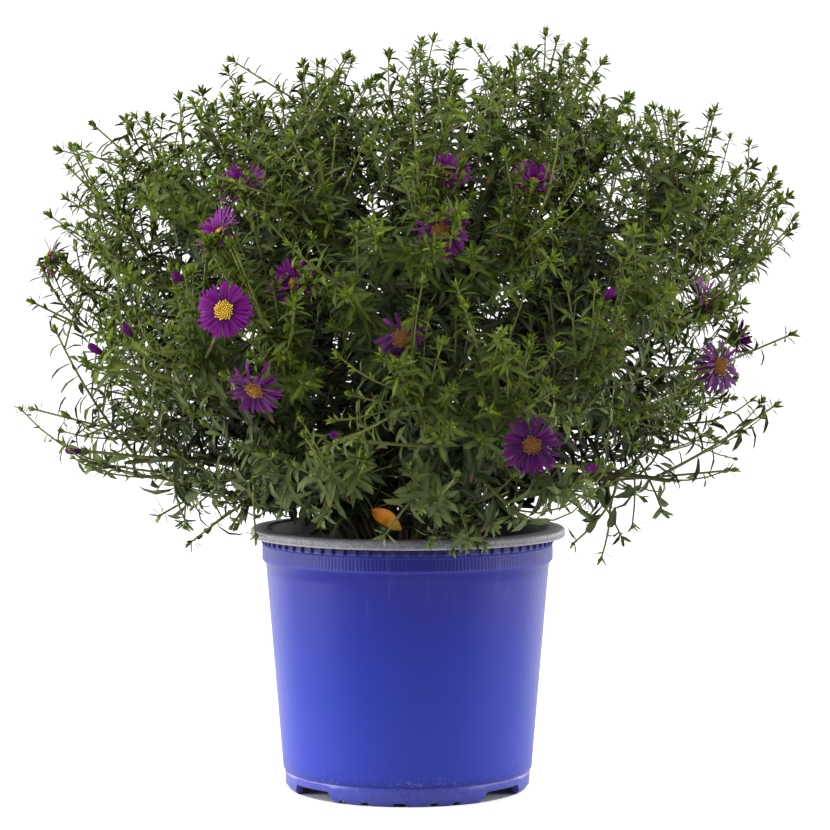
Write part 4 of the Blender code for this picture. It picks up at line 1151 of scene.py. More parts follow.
def claim_bloom(centre, look, owner, length, angle):
    """Eight rods over a bloom's rays and one through its middle."""
    side = unit(np.cross(look, SKEW_BLOOM))
    other = np.cross(look, side)
    lean = math.radians(angle)
    for turn in np.linspace(0, 2 * math.pi, 9)[:-1]:
        out = math.cos(turn) * side + math.sin(turn) * other
        end = centre + (HUB_RADIUS + length) * (math.sin(lean) * out + math.cos(lean) * look)
        space.add(centre, end, RAY_CLAIM, owner)
    space.add(centre - look * CUP_HEIGHT, centre + look * (HUB_HEIGHT + DISC_HEIGHT), CUP_RADIUS, owner)


for owner, head in enumerate(HEADS, FIRST_OWNER + 1):
    centre, look = np.array(head[:3]), facing(*head[3:5])
    if len(head) > 5:
        claim_bloom(centre, look, owner, *head[5:])
    else:
        space.add(centre, centre + BUD_LENGTH * look, BUD_CLAIM, owner)
space.add(YELLOW_LEAF_TOP, YELLOW_LEAF_TIP, 0.5 * YELLOW_LEAF_WIDTH, WITHERED_OWNER)
print(len(HEADS), "blooms and buds,", space.count, "rods")

# %% [markdown]
# ## Stalks and twigs
# A stalk carries each bloom, and a twig runs to each of the solids' tips. Both try the nearest stems
# and several heights on them, and grow where there is room. Each is kept as the three points of its
# curve, with the stem that it belongs to.

# %% Stalks and twigs
TWIG_COUNT = 112
TWIG_SPREAD = math.radians(93)
TWIG_ROOT = (0.0055, 0.0009)
TWIG_END = ((0.032, 0.0015), (0.0175, 0.0042), (0.0060, 0.0030))
COLLAR = (0.0045, 0.0018)
COLLAR_FROM = 0.056
LEAVE_WEIGHTS = (0.55, 0.75, 0.5)
TWIG_BEND = 0.42
TWIG_SHARES = (0.5, 0.62, 0.38, 0.75)
TIP_SCATTER = 0.03
DEEP_PORTION = 0.3
DEEP_REACH = (0.60, 0.78)
OUTER_REACH = (0.88, 0.96)
DEEP_SHARES = (0.3, 0.42, 0.2, 0.55)
SPRIG_POINT = 0.009
STALK_RADIUS = 0.0009
STALK_BEND = 0.006
STALK_PLACES = (0.15, 0.4, 0.7, 1.0)
STALK_SHARES = (0.62, 0.5, 0.75, 0.4, 0.85)
STALK_CHOICES = 4
TWIG_CHOICES = 3
EDGE_MARGIN = 0.004
SPRIGS = (
    (-0.234, 0.010, 0.297), (-0.231, -0.020, 0.232), (-0.196, -0.060, 0.203),
    (-0.152, -0.060, 0.170), (0.240, 0.010, 0.277), (0.226, -0.030, 0.235),
    (0.200, -0.040, 0.196), (0.136, -0.030, 0.153), (0.224, -0.030, 0.367),
    (-0.211, 0.020, 0.380), (-0.190, -0.030, 0.404), (0.004, 0.010, 0.450),
    (0.092, 0.000, 0.4575), (0.060, -0.237, 0.272), (-0.030, 0.237, 0.280),
    (0.120, 0.060, 0.436),
)


def twig_rings(length):
    """A solid twig's rings as (share of its length, radius), with a collar half-way on a long one."""
    rings = [(TWIG_ROOT[0] / length, TWIG_ROOT[1])]
    if length > COLLAR_FROM:
        half, radius = COLLAR
        middle = 0.5 * (length - TWIG_END[0][0])
        rings += [((middle - half) / length, 0.8 * radius), ((middle + half) / length, radius)]
    return rings + [(1 - back / length, radius) for back, radius in TWIG_END]


def twig_curve(stem, root, target):
    """The three points of a curve that leaves a face and bends up towards its target."""
    start = stem.middles[root]
    along = unit(stem.path[root[0] + 1] - stem.path[root[0]])
    forward, inward, off = LEAVE_WEIGHTS
    leave = unit(forward * along + inward * unit(target - start) + off * stem.normals[root])
    return start, start + TWIG_BEND * np.linalg.norm(target - start) * leave, target


def path_rods(root, path, radii):
    """The rods that a twig or a stalk fills, each as wide as the wider of its two rings."""
    places = [root, *path]
    widths = [radii[0], *radii, radii[-1]]
    return [(start, end, max(first, second))
            for start, end, first, second in zip(places, places[1:], widths, widths[1:])]


def path_free(rods, twig, stem):
    """Whether a path finds room. Its root and its first stretch may come near their own stem."""
    allowed = [(twig, stem.number), (twig, stem.number)] + [(twig,)] * (len(rods) - 2)
    return all(space.free(*rod, *own) for rod, own in zip(rods, allowed))


def grow(target, path_of, owner, stem_count, shares, keep_off_pot):
    """Take the first stem and height where the path finds room. Returns the stem and its curve."""
    direction = unit(target - CROWN)
    nearest = sorted(stems, key=lambda stem: -float(stem.direction @ direction))[:stem_count]
    for stem in nearest:
        for share in shares:
            root = stem.root_for(target, share)
            if root is None:
                continue
            shape = path_of(stem, root)
            if shape is None:
                continue
            path, radii, ends = shape
            rods = path_rods(stem.middles[root], path, radii)
            if keep_off_pot and not above_pot(path).all() or not path_free(rods, owner, stem):
                continue
            stem.taken[root] = True
            for rod in rods[1:]:
                space.add(*rod, owner)
            return stem, ends
    return None


def stalk_path(cup, look):
    """A stalk's path from any root: a curve that comes to the cup from below."""
    def path_of(stem, root):
        ends = twig_curve(stem, root, cup - STALK_BEND * look)
        path = np.vstack((curve(*ends, STALK_PLACES), [cup]))
        return path, [STALK_RADIUS] * len(path), ends
    return path_of


def twig_path(target):
    """A twig's path from any root, or nothing where it would be too short for its rings."""
    def path_of(stem, root):
        length = np.linalg.norm(target - stem.middles[root])
        if length < TWIG_END[0][0] + 2 * TWIG_ROOT[0]:
            return None
        rings = twig_rings(length)
        ends = twig_curve(stem, root, target)
        return curve(*ends, [share for share, _ in rings] + [1.0]), [radius for _, radius in rings], ends
    return path_of


def wanted_tips(random):
    """The end and depth of every twig: the sprigs first, then the dome's tips."""
    points = np.array(SPRIGS)
    tips = [(end, False) for end in points - SPRIG_POINT * unit(points - CROWN)]
    for direction in dome_directions(TWIG_COUNT, TWIG_SPREAD):
        direction = unit(direction + random.normal(0, TIP_SCATTER, 3))
        deep = random.random_sample() < DEEP_PORTION
        share = random.uniform(*DEEP_REACH) if deep else random.uniform(*OUTER_REACH)
        target = CROWN + direction * reach(direction) * share
        target[:2] = np.clip(target[:2], EDGE_MARGIN - WIDEST, WIDEST - EDGE_MARGIN)
        tips.append((target, deep))
    return tips


stalks = []
for owner, head in enumerate(HEADS, FIRST_OWNER + 1):
    centre, look = np.array(head[:3]), facing(*head[3:5])
    cup = centre - look * (CUP_HEIGHT + GAP)
    stem, ends = grow(cup, stalk_path(cup, look), owner, STALK_CHOICES, STALK_SHARES, False)
    stalks.append((stem.number, ends, cup, centre, look))
twigs = []
tips = wanted_tips(np.random.RandomState(SEED))
for owner, (target, deep) in enumerate(tips, FIRST_OWNER + len(HEADS) + 1):
    shares = DEEP_SHARES if deep else TWIG_SHARES
    grown = grow(target, twig_path(target), owner, TWIG_CHOICES, shares, True)
    if grown is not None:
        twigs.append((grown[0].number, grown[1]))
print(len(stalks), "stalks and", len(twigs), "twigs found room")

# %% [markdown]
# ## Side twigs
# The solids stop at some hundred and twenty tips, and the real plant has about a thousand. So each
# twig here branches once more. Their own twigs are known now as curves, so a step along a curve
# and a direction on it are the first things to work out.

# %% Curves as arrays
random = np.random.RandomState(SEED + 3)
stem_ends = np.array([stem.ends for stem in stems])
twig_ends = np.array([ends for _, ends in twigs])
twig_stems = np.array([number for number, _ in twigs])
heads = [(centre, look) for _, _, _, centre, look in stalks]
heads.append((0.5 * (YELLOW_LEAF_TOP + YELLOW_LEAF_TIP), np.array((0.0, -1.0, 0.0))))


def on_curves(ends, index, shares):
    """Places and directions at one share along each of the curves named by index."""
    start, bend, tip = ends[index, 0], ends[index, 1], ends[index, 2]
    share = shares[:, None]
    return curve(start, bend, tip, shares), unit((1 - share) * (bend - start) + share * (tip - bend))


def steps_along(ends, low, high, spacing):
    """One place each spacing between two shares of many curves: curve, number on it, share."""
    legs = np.linalg.norm(np.diff(ends, axis=1), axis=2).sum(1)
    lengths = 0.5 * (legs + np.linalg.norm(ends[:, 2] - ends[:, 0], axis=1))
    counts = np.maximum(1, np.round(lengths * (high - low) / spacing)).astype(int)
    index = np.repeat(np.arange(len(ends)), counts)
    step = np.arange(len(index)) - np.repeat(np.cumsum(counts) - counts, counts)
    return index, step, low + (high - low) * (step + 0.5) / counts[index]


print(len(stem_ends) + len(twig_ends), "curves to branch from")

# %% [markdown]
# ## Where the bush is open
# Nothing grows in front of a bloom that the photograph shows whole, nothing hangs before the rim but
# one spray, and low on the left and right the bush is open. These rules say which points and which
# directions are left free.

# %% Places kept free
HEAD_ROOMS = (0.019, 0.006, 0.011, 0.012, 0.013, 0.016) + (0.014,) * 4 \
    + (0.006,) * 7 + (0.005,) * 8 + (0.011,)
HEAD_DEPTHS = (-0.003, 0.045)
SPRAY = (0.008, 0.062)
BEFORE_RIM = -0.05
FRONT_LOW = 0.012
FRONT_HALF = 0.07
SPARSE_LEANS = ((-78, -66, -50, -36, 46, 57, 61, 64, 66, 73),
                (0.22, 0.75, 0.85, 1.0, 1.0, 0.5, 0.5, 0.8, 0.75, 0.12))


def before_heads(points, share=1.0):
    """True where points stand in front of a bloom or a bud, within its own room about its axis."""
    hidden = np.zeros(points.shape[:-1], bool)
    for (centre, look), room in zip(heads, HEAD_ROOMS):
        apart = points - centre
        along = apart @ look
        off = np.linalg.norm(apart - along[..., None] * look, axis=-1)
        hidden |= (along > HEAD_DEPTHS[0]) & (along < HEAD_DEPTHS[1]) & (off < share * room)
    return hidden


def hangs_low(points, low):
    """True where points hang low outside the rim, before its front above all. One spray does so."""
    across = np.hypot(points[..., 0], points[..., 1])
    before = (points[..., 1] < BEFORE_RIM) & (np.abs(points[..., 0]) < RIM_RADIUS + CLEAR)
    spray = before & (points[..., 0] > SPRAY[0]) & (points[..., 0] < SPRAY[1])
    return (across > SLEEVE_RADIUS) & ~spray & (points[..., 2] < low + FRONT_LOW * before)


def front_lean(directions):
    """The angle from upright as the front shows it, in degrees, below 0 on the left."""
    return np.degrees(np.arctan2(directions[:, 0], directions[:, 2]))


def sparse(directions):
    """True for most directions, and for fewer low on the left and right.

    Directions near the middle are always kept, because there the lean says little.
    """
    drawn = random.random_sample(len(directions)) < np.interp(front_lean(directions), *SPARSE_LEANS)
    return drawn | (np.abs(directions[:, 0]) < FRONT_HALF)


print(len(HEAD_ROOMS), "rooms are kept free before blooms and buds")

# %% [markdown]
# ## Tips of the side twigs
# Tips are spread over the dome again, most at its outside and the rest deeper, fewer low down. A
# table over the lean makes the outline that the front shows wavy, as the real one is. A few tips are
# given: where the outline has a spire, over the rim, and close before the half hidden blooms.

# %% Tips of the side twigs
OUTER_TIPS = ((1130, 0.84, 0.985),)
INNER_TIPS = ((430, 0.54, 0.83), (150, 0.30, 0.53))
SIDE_SPREAD = math.radians(85)
SIDE_SCATTER = 0.03
THINNER = ((58, 85), (1.0, 0.25))
LEANS = ((-90, -78, -71, -62, -55, -50, -44, -30, -22, -8, 0, 8,
          18, 25, 31, 36, 47, 53, 59, 66, 70, 76, 90),
         (0.76, 0.80, 0.88, 0.82, 0.89, 0.92, 1.01, 0.99, 1.01, 0.98, 1.00, 1.04,
          1.06, 1.03, 1.05, 1.03, 1.10, 1.02, 0.91, 0.90, 0.94, 0.78, 0.72))
WEDGES = ((-41, 40), (-22, 36), (-5, 54), (12, 20), (30, 60), (68, 10))
WEDGE_SCATTER = 3.5
WEDGE_DEPTH = 0.55
WEDGE_REACH = (0.55, 0.93)
SPIRES = (
    (-0.208, 0.357), (-0.199, 0.384), (-0.155, 0.398), (-0.105, 0.425), (-0.092, 0.410),
    (-0.034, 0.438), (0.034, 0.436), (0.065, 0.441), (0.128, 0.412), (0.148, 0.402),
    (0.150, 0.380), (0.215, 0.360), (0.222, 0.340), (-0.115, 0.424), (0.217, 0.366),
    (0.097, 0.441), (0.205, 0.232), (0.196, 0.196), (-0.214, 0.226), (-0.184, 0.196),
)
SPIRE_TIPS = 3
SPIRE_SCATTER = 0.005
SPIRE_DEPTH = 0.06
SPRAY_ROOM = ((0.010, -0.114, 0.150), (0.062, -0.104, 0.172))
SPRAY_TIPS = 16
LEFT_ROOM = ((-0.106, -0.060, 0.161), (-0.076, 0.000, 0.188))
LEFT_TIPS = 12
COVERED = (-0.213, 0.000, 0.318)
COVER_HALF = 0.011
COVER_TIPS = 9
VEILS = (1, 11, 8, 8, 7, 4) + (0,) * 4 + (11, 11, 10, 9, 8, 12, 0) + (3,) * 8
VEIL_AHEAD = (0.005, 0.014)
VEIL_ACROSS = (0.004, 0.013)
VEIL_DROP = (0, 0, 0.003)
TIP_LOW = 0.160


def leaning_reach(directions):
    """The dome's reach, made longer or shorter by the angle that the front shows."""
    return reach(directions) * np.interp(front_lean(directions), *LEANS)


def wedge_tips():
    """Tips in slices of the bush that have few stems of their own: a lean and a count for each."""
    found = []
    for lean, count in WEDGES:
        angle = np.radians(lean + random.normal(0, WEDGE_SCATTER, count))
        flat = random.uniform(-WEDGE_DEPTH, WEDGE_DEPTH, count)
        directions = unit(np.stack([np.sin(angle), flat, np.cos(angle)], axis=1))
        share = random.uniform(*WEDGE_REACH, count)
        found.append(CROWN + directions * (leaning_reach(directions) * share)[:, None])
    return found


def hand_tips():
    """Tips where the outline stands out, in two sprays over the rim, and before a bloom at the left."""
    places = np.repeat(np.array(SPIRES), SPIRE_TIPS, axis=0)
    places = places + random.normal(0, SPIRE_SCATTER, places.shape)
    depths = random.uniform(-SPIRE_DEPTH, SPIRE_DEPTH, len(places))
    spires = np.stack([places[:, 0], depths, places[:, 1]], axis=1)
    covers = np.array(COVERED) + random.uniform(-COVER_HALF, COVER_HALF, (COVER_TIPS, 3))
    front = random.uniform(*SPRAY_ROOM, (SPRAY_TIPS, 3))
    return [spires, front, random.uniform(*LEFT_ROOM, (LEFT_TIPS, 3)), covers]


def wanted_side_tips(layers, veils, found):
    """Tips over the dome, fewer low down, and some close before the blooms that are half hidden."""
    for count, low, high in layers:
        scatter = random.normal(0, SIDE_SCATTER, (count, 3))
        directions = unit(dome_directions(count, SIDE_SPREAD) + scatter)
        angle = np.degrees(np.arccos(directions[:, 2]))
        directions = directions[random.random_sample(count) < np.interp(angle, *THINNER)]
        directions = directions[sparse(directions)]
        share = random.uniform(low, high, len(directions))
        found.append(CROWN + directions * (leaning_reach(directions) * share)[:, None])
    for (centre, look), count in zip(heads, veils):
        across = random.normal(0, 1, (count, 3))
        across = unit(across - (across @ look)[:, None] * look)
        ahead = random.uniform(*VEIL_AHEAD, count)[:, None] * look
        found.append(centre + ahead + random.uniform(*VEIL_ACROSS, count)[:, None] * across - VEIL_DROP)
    tips = np.concatenate(found)
    tips[:, :2] = np.clip(tips[:, :2], -WIDEST, WIDEST)
    return tips[above_pot(tips) & ~before_heads(tips) & ~hangs_low(tips, TIP_LOW)]


# %% [markdown]
# ## Joining tips to twigs
# Each tip joins the twig or stem from which it can be reached in about 45 mm without a sharp turn.
# Every place on every twig is compared with every tip at once, and the cheapest place wins. Low tips
# are reached from above, so their twigs hang.

# %% Joining tips to twigs
TWIG_PLACES = (0.2, 0.92, 0.006)
STEM_PLACES = (0.35, 0.95, 0.010)
SIDE_LENGTH = 0.045
SIDE_LENGTHS = (0.018, 0.085)
TURN_COST = 0.03
TOO_FAR = 10.0
SIDE_BEND = 0.45
HANG_RISES = ((0.162, 0.185), (-1.2, 0.80))


def join_tips(tips):
    """Curves from the best place on the twigs and stems to each tip, and the stems they belong to.

    A place costs its length's distance from the usual one, and more the sharper its two turns are.
    """
    on_twigs = steps_along(twig_ends, *TWIG_PLACES)
    on_stems = steps_along(stem_ends, *STEM_PLACES)
    first, first_ahead = on_curves(twig_ends, on_twigs[0], on_twigs[2])
    second, second_ahead = on_curves(stem_ends, on_stems[0], on_stems[2])
    places = np.concatenate([first, second])
    ahead = np.concatenate([first_ahead, second_ahead])
    owners = np.concatenate([twig_stems[on_twigs[0]], on_stems[0]])
    apart = tips[:, None] - places
    length = np.linalg.norm(apart, axis=2)
    rise = np.interp(tips[:, 2], *HANG_RISES)[:, None]
    look = unit(unit(tips - CROWN) + rise * UPRIGHT)
    turned = 2 - (apart * ahead).sum(2) / length - (apart * look[:, None]).sum(2) / length
    wrong = (length < SIDE_LENGTHS[0]) | (length > SIDE_LENGTHS[1])
    cost = np.abs(length - SIDE_LENGTH) + TURN_COST * turned + TOO_FAR * wrong
    best = cost.argmin(axis=1)
    near = cost[np.arange(len(tips)), best] < 1.0
    tips, best, look = tips[near], best[near], look[near]
    away = SIDE_BEND * length[near, best][:, None]
    bend = 0.5 * (tips - away * look) + 0.5 * (places[best] + away * ahead[best])
    return np.stack([places[best], bend, tips], axis=1), owners[best]


outer_ends, outer_stems = join_tips(wanted_side_tips(OUTER_TIPS, VEILS, hand_tips()))
inner_ends, inner_stems = join_tips(wanted_side_tips(INNER_TIPS, (), wedge_tips()))
print(len(outer_ends), "outer side twigs and", len(inner_ends), "inner ones")

# %% [markdown]
# ## Twigs as tubes
# A twig is a tube that thins towards its tip: rings of corners square to its path. A curve object
# with a bevel would make one too, but thousands of them are slow. The path lies in one plane, so the
# direction square to that plane keeps the rings from twisting.

# %% Tubes
STRAIGHT = 0.02
TWIG_RADII = (0.0010, 0.0006)
OUTER_RADII = (0.0006, 0.00045)
INNER_RADII = (0.0007, 0.0005)
STALK_RADII = (0.0010, 0.0009)

parts = []


def add_part(owners, points, rings, sides, finish, growth):
    """Keep surfaces for their owners' stems, each with a tint of its own."""
    parts.append((owners, points, spindle(rings, sides), finish, np.broadcast_to(growth, points.shape),
                  random.random_sample(len(points))))


def over_corners(shape, *values):
    """Three values for each corner of each copy, from values that may be shared by all copies."""
    return np.stack([np.broadcast_to(value, shape) for value in values], axis=2)


def tubes(paths, radii, sides, cap=0.6):
    """Closed tubes along paths (copies, places, 3) with radii (copies, places).

    A corner is the place plus the radius times (-cos(angle) * side + sin(angle) * up).
    """
    middle = paths[:, paths.shape[1] // 2]
    whole = unit(paths[:, -1] - paths[:, 0])
    square = np.cross(unit(middle - paths[:, 0]), unit(paths[:, -1] - middle))
    size = np.linalg.norm(square, axis=1, keepdims=True)
    other = unit(np.cross(whole, np.where(np.abs(whole[:, 2:]) > 0.8, (1.0, 0.0, 0.0), (0.0, 0.0, 1.0))))
    square = np.where(size > STRAIGHT, square / np.maximum(size, 1e-9), other)[:, None]
    ahead = unit(np.gradient(paths, axis=1))
    side = unit(square - (square * ahead).sum(2, keepdims=True) * ahead)
    up = np.cross(side, ahead)
    angle = (2 * math.pi * np.arange(sides) / sides)[:, None]
    ring = -np.cos(angle) * side[:, :, None] + np.sin(angle) * up[:, :, None]
    ring = paths[:, :, None] + radii[:, :, None, None] * ring
    end = paths[:, -1:] + cap * ahead[:, -1:] * radii[:, -1:, None]
    return np.concatenate([paths[:, :1], ring.reshape(len(paths), -1, 3), end], axis=1)


def add_tubes(owners, paths, ends, ages, sides):
    """Tubes whose radius and age run from one value to another, as parts of their owners' stems."""
    copies, places = paths.shape[:2]
    radii = np.tile(np.linspace(*ends, places), (copies, 1))
    points = tubes(paths, radii, sides)
    along = np.concatenate([[0.0], np.repeat(np.linspace(0, 1, places), sides), [1.0]])
    age = ages[0] + (ages[1] - ages[0]) * along
    add_part(owners, points, places, sides, 1, np.stack([age, along, 0 * along], axis=1))


def paths_of(ends, count):
    """Each curve as a row of places."""
    return curve(ends[:, None, 0], ends[:, None, 1], ends[:, None, 2], np.linspace(0, 1, count))


main = np.arange(len(stems))
feet = np.array([stem.foot for stem in stems])[:, None]
stalk_ends = np.array([ends for _, ends, _, _, _ in stalks])
stalk_stems = np.array([number for number, _, _, _, _ in stalks])
cups = np.array([cup for _, _, cup, _, _ in stalks])[:, None]
add_tubes(main, np.concatenate([feet, paths_of(stem_ends, 15)], axis=1), STEM_RADII, (1.0, 0.45), 8)
add_tubes(twig_stems, paths_of(twig_ends, 9), TWIG_RADII, (0.5, 0.1), 6)
add_tubes(outer_stems, paths_of(outer_ends, 5), OUTER_RADII, (0.35, 0.0), 4)
add_tubes(inner_stems, paths_of(inner_ends, 4), INNER_RADII, (0.6, 0.4), 4)
add_tubes(stalk_stems, np.concatenate([paths_of(stalk_ends, 9), cups], axis=1), STALK_RADII, (0.4, 0.1), 6)
print(sum(len(points) for _, points, *_ in parts), "tubes")

# %% [markdown]
# ## Leaves
# A leaf is a narrow blade: a start point on its twig, two to four rings of corners, and a point. Its
# middle line is an arc, its halves are folded up a little, and it is widest near its middle. The
# leaves of a shoot turn about it by the golden angle, as on the real plant, and lean outwards.

# %% Blades
TINY = ((0.35, 1.0), (0.75, 0.72))
SMALL = ((0.24, 0.74), (0.64, 1.0))
MEDIUM = ((0.16, 0.55), (0.50, 1.0), (0.82, 0.62))
LARGE = ((0.10, 0.42), (0.36, 0.95), (0.66, 0.90), (0.88, 0.50))
MIDRIB = (0.0, 1.0, 0.0, 0.6)


def blades(root, ahead, up, length, width, bend, age, rings, thick=0.0003, fold=0.30):
    """Leaves that start at root, run ahead and look up. Returns points and growth.

    At a share t of a leaf's length its middle is root + length / bend * (sin(bend * t) * ahead -
    (1 - cos(bend * t)) * up), an arc that turns down by the angle bend in all. Without a fold a ring
    has three corners, and the leaf is flat on top.
    """
    share = np.array([0.0] + [place for place, _ in rings] + [1.0])
    turn = bend[:, None] * share
    span = (length / bend)[:, None]
    middle = root[:, None] + (span * np.sin(turn))[..., None] * ahead[:, None] \
        - (span * (1 - np.cos(turn)))[..., None] * up[:, None]
    rise = np.cos(turn)[..., None] * up[:, None] + np.sin(turn)[..., None] * ahead[:, None]
    side = np.cross(ahead, up)[:, None]
    middles, rise = middle[:, 1:-1], rise[:, 1:-1]
    half = (0.5 * width[:, None] * np.array([wide for _, wide in rings]))[..., None]
    lifted = middles + fold * half * rise
    ring = [lifted - half * side, middles, lifted + half * side, middles - thick * rise]
    rib = MIDRIB
    if fold == 0:
        ring, rib = ring[:1] + ring[2:], rib[:1] + rib[2:]
    corners = np.stack(ring, axis=2).reshape(len(root), -1, 3)
    points = np.concatenate([middle[:, :1], corners, middle[:, -1:]], axis=1)
    along = np.concatenate([[0.0], np.repeat(share[1:-1], len(ring)), [1.0]])
    midrib = np.concatenate([[0.5], np.tile(rib, len(rings)), [0.5]])
    return points, over_corners(points.shape[:2], age[:, None], along, midrib)


# %% Leaves round shoots
PAINTED_SHADE_DEPTHS = (0.38, 0.78)
LOW_LEAVES = (0.165, 0.215)
OUTSIDE = (0.085, 0.125)
LOW_OUTSIDE_LESS_SHADE = 0.55
LOW_LONGER = 0.12
LOW_BROADER = 0.4
LOW_THINNER = 0.42
SMALL_LEAF = 0.0105
LEAF_LOW = 0.152
TWIG_LOW = 0.134
LONE_SHARE = 0.45
BLOOM_SHARE = 0.85
EDGE_ROOM = 0.004
BOX_LOW = np.array(cad_box[0]) - EDGE_ROOM
BOX_HIGH = np.array(cad_box[1]) + EDGE_ROOM
SKEW_LEAF = (0.31, 0.95, 0.05)


def around(axes, turn, skew):
    """Directions square to axes, turned about them by an angle."""
    side = unit(np.cross(axes, skew))
    return np.cos(turn)[:, None] * side + np.sin(turn)[:, None] * np.cross(axes, side)


def leaning(axes, out, stand):
    """Where a blade runs and where it looks, when it leans from an axis outwards by an angle."""
    lead = np.sin(stand)[:, None] * out + np.cos(stand)[:, None] * axes
    return lead, np.sin(stand)[:, None] * axes - np.cos(stand)[:, None] * out


def add_leaves(owners, place, ahead, turn, stand, length, width, bend, age, rings, lowest=LEAF_LOW, **form):
    """Leaves round shoots. turn is the angle about the shoot and stand the lean away from it.

    A leaf's age is pushed up, to 1 at most, the deeper in the bush it is, and less so low outside:
    painted shade, which the leaf colour turns dark. Low ones are broader and fewer. Leaves that stand
    before a bloom, in the pot, past the box or where the bush is open go.
    """
    lead, face = leaning(ahead, around(ahead, turn, SKEW_LEAF), stand)
    away = np.linalg.norm(place - CROWN, axis=1)
    # Painted shade: deeper leaves get a higher age, which the leaf colour turns dark.
    depth = np.interp(away / reach((place - CROWN) / away[:, None]), PAINTED_SHADE_DEPTHS, (1.0, 0.0))
    low = np.interp(place[:, 2], LOW_LEAVES, (1.0, 0.0))
    outside = np.interp(np.hypot(place[:, 0], place[:, 1]), OUTSIDE, (0.0, 1.0))
    age = age + (1.0 - age) * depth * (1 - LOW_OUTSIDE_LESS_SHADE * low * outside)
    lone = (lowest == TWIG_LOW) & (random.random_sample(len(place)) < LONE_SHARE)
    points, growth = blades(place, lead, face, length * (1 + LOW_LONGER * low),
                            width * (1 + LOW_BROADER * low), bend, age, rings, **form)
    seen = points[:, [0, points.shape[1] // 2, -1]]
    keep = above_pot(seen[:, 1:]).all(1) & ~before_heads(seen, BLOOM_SHARE).any(1)
    keep &= ~hangs_low(seen, lowest).any(1) & ((seen > BOX_LOW) & (seen < BOX_HIGH)).all((1, 2))
    keep &= lone | sparse(place - CROWN)
    keep &= random.random_sample(len(place)) > LOW_THINNER * low * (length > SMALL_LEAF)
    sides = (points.shape[1] - 2) // len(rings)
    add_part(owners[keep], points[keep], len(rings), sides, 0, growth[keep])
    return int(keep.sum())


# %% [markdown]
# ## Tips
# Each tip ends in a star of short leaves round a green bud. On some tips the leaves stand square and
# curl back, so they are stars. On others they close up to a small club. The bud is a little dome.
# One number, from 0 for a star to 1 for a club, changes all of it at once.

# %% Tips
OUTER_STAR = 12
INNER_STAR = 8
CLUB_SHARE = 0.62
BUD_SIDES = 5
BUD_RISE = np.array((0.0, 0.45, 0.85, 1.0))
BUD_WIDE = np.array((0.45, 1.0, 0.95, 0.55))
BUD_GROWTH = (0.22, 0.4, 0.0)
STAR_BACK = 0.0055
OPEN_BELOW = 0.172


def add_buds(owners, ends, closed):
    """A green dome at each curve's end, taller and wider where the tip is closed."""
    tall = (0.0032 + 0.0014 * closed)[:, None]
    ahead = unit(ends[:, 2] - ends[:, 1])[:, None]
    paths = ends[:, 2:] + (tall * (BUD_RISE - 0.35))[..., None] * ahead
    points = tubes(paths, (0.0010 + 0.0006 * closed)[:, None] * BUD_WIDE, BUD_SIDES)
    add_part(owners, points, len(BUD_RISE), BUD_SIDES, 0, BUD_GROWTH)


def add_tips(owners, ends, count, size, lowest=LEAF_LOW):
    """A bud and a star of leaves at each curve's end: the outer ones first, the upright ones last."""
    copies = len(ends)
    order = np.tile(np.arange(count), copies)
    index = np.repeat(np.arange(copies), count)
    inner = order / (count - 1.0)
    closed = np.where(random.random_sample(copies) < CLUB_SHARE, random.uniform(0.55, 1.0, copies),
                      random.uniform(0.0, 0.4, copies))
    closed *= np.where(ends[:, 2, 2] < OPEN_BELOW, 0.2, 1.0)
    scale = (size * random.uniform(0.8, 1.2, copies) * (1 - 0.30 * closed))[index]
    shut = closed[index]
    ahead = unit(ends[index, 2] - ends[index, 1])
    place = ends[index, 2] - (STAR_BACK * (1 - inner) - 0.0008)[:, None] * ahead
    turn = order * GOLDEN_ANGLE + random.uniform(0, 6, copies)[index]
    stand = 84 - 62 * inner - 38 * shut * (1 - 0.6 * inner) + random.normal(0, 7, len(index))
    length = scale * (1.0 - 0.50 * inner) * random.uniform(0.85, 1.15, len(index))
    width = length * (0.20 + 0.08 * inner + 0.07 * shut)
    bend = 0.20 + 0.95 * (1 - inner) * (1 - 0.5 * shut) * random.uniform(0.6, 1.2, len(index))
    age = np.clip(0.36 * (1 - inner) + 0.16 * shut + random.normal(0.02, 0.05, len(index)), 0, 1)
    add_buds(owners, ends, closed)
    return add_leaves(owners[index], place, ahead, turn, np.radians(stand), length, width, bend, age,
                      TINY, lowest, fold=0)


count = add_tips(outer_stems, outer_ends, OUTER_STAR, 0.0098)
count += add_tips(inner_stems, inner_ends, INNER_STAR, 0.0120)
count += add_tips(twig_stems, twig_ends, OUTER_STAR, 0.0100, TWIG_LOW)
count += add_tips(main, stem_ends, OUTER_STAR, 0.0100)
print(count, "leaves at the tips")

# %% [markdown]
# ## Leaves along the twigs
# Along the side twigs leaves are small and close, along the older twigs longer, and low on the main
# stems broad, dull and drooping. Each kind of twig is one row of a table: between which shares of
# its length leaves stand and how far apart, how long and wide they are at its foot and at its tip,
# how they lean and bend, their ages, and their form. Tufts of tiny leaves stand at their feet.

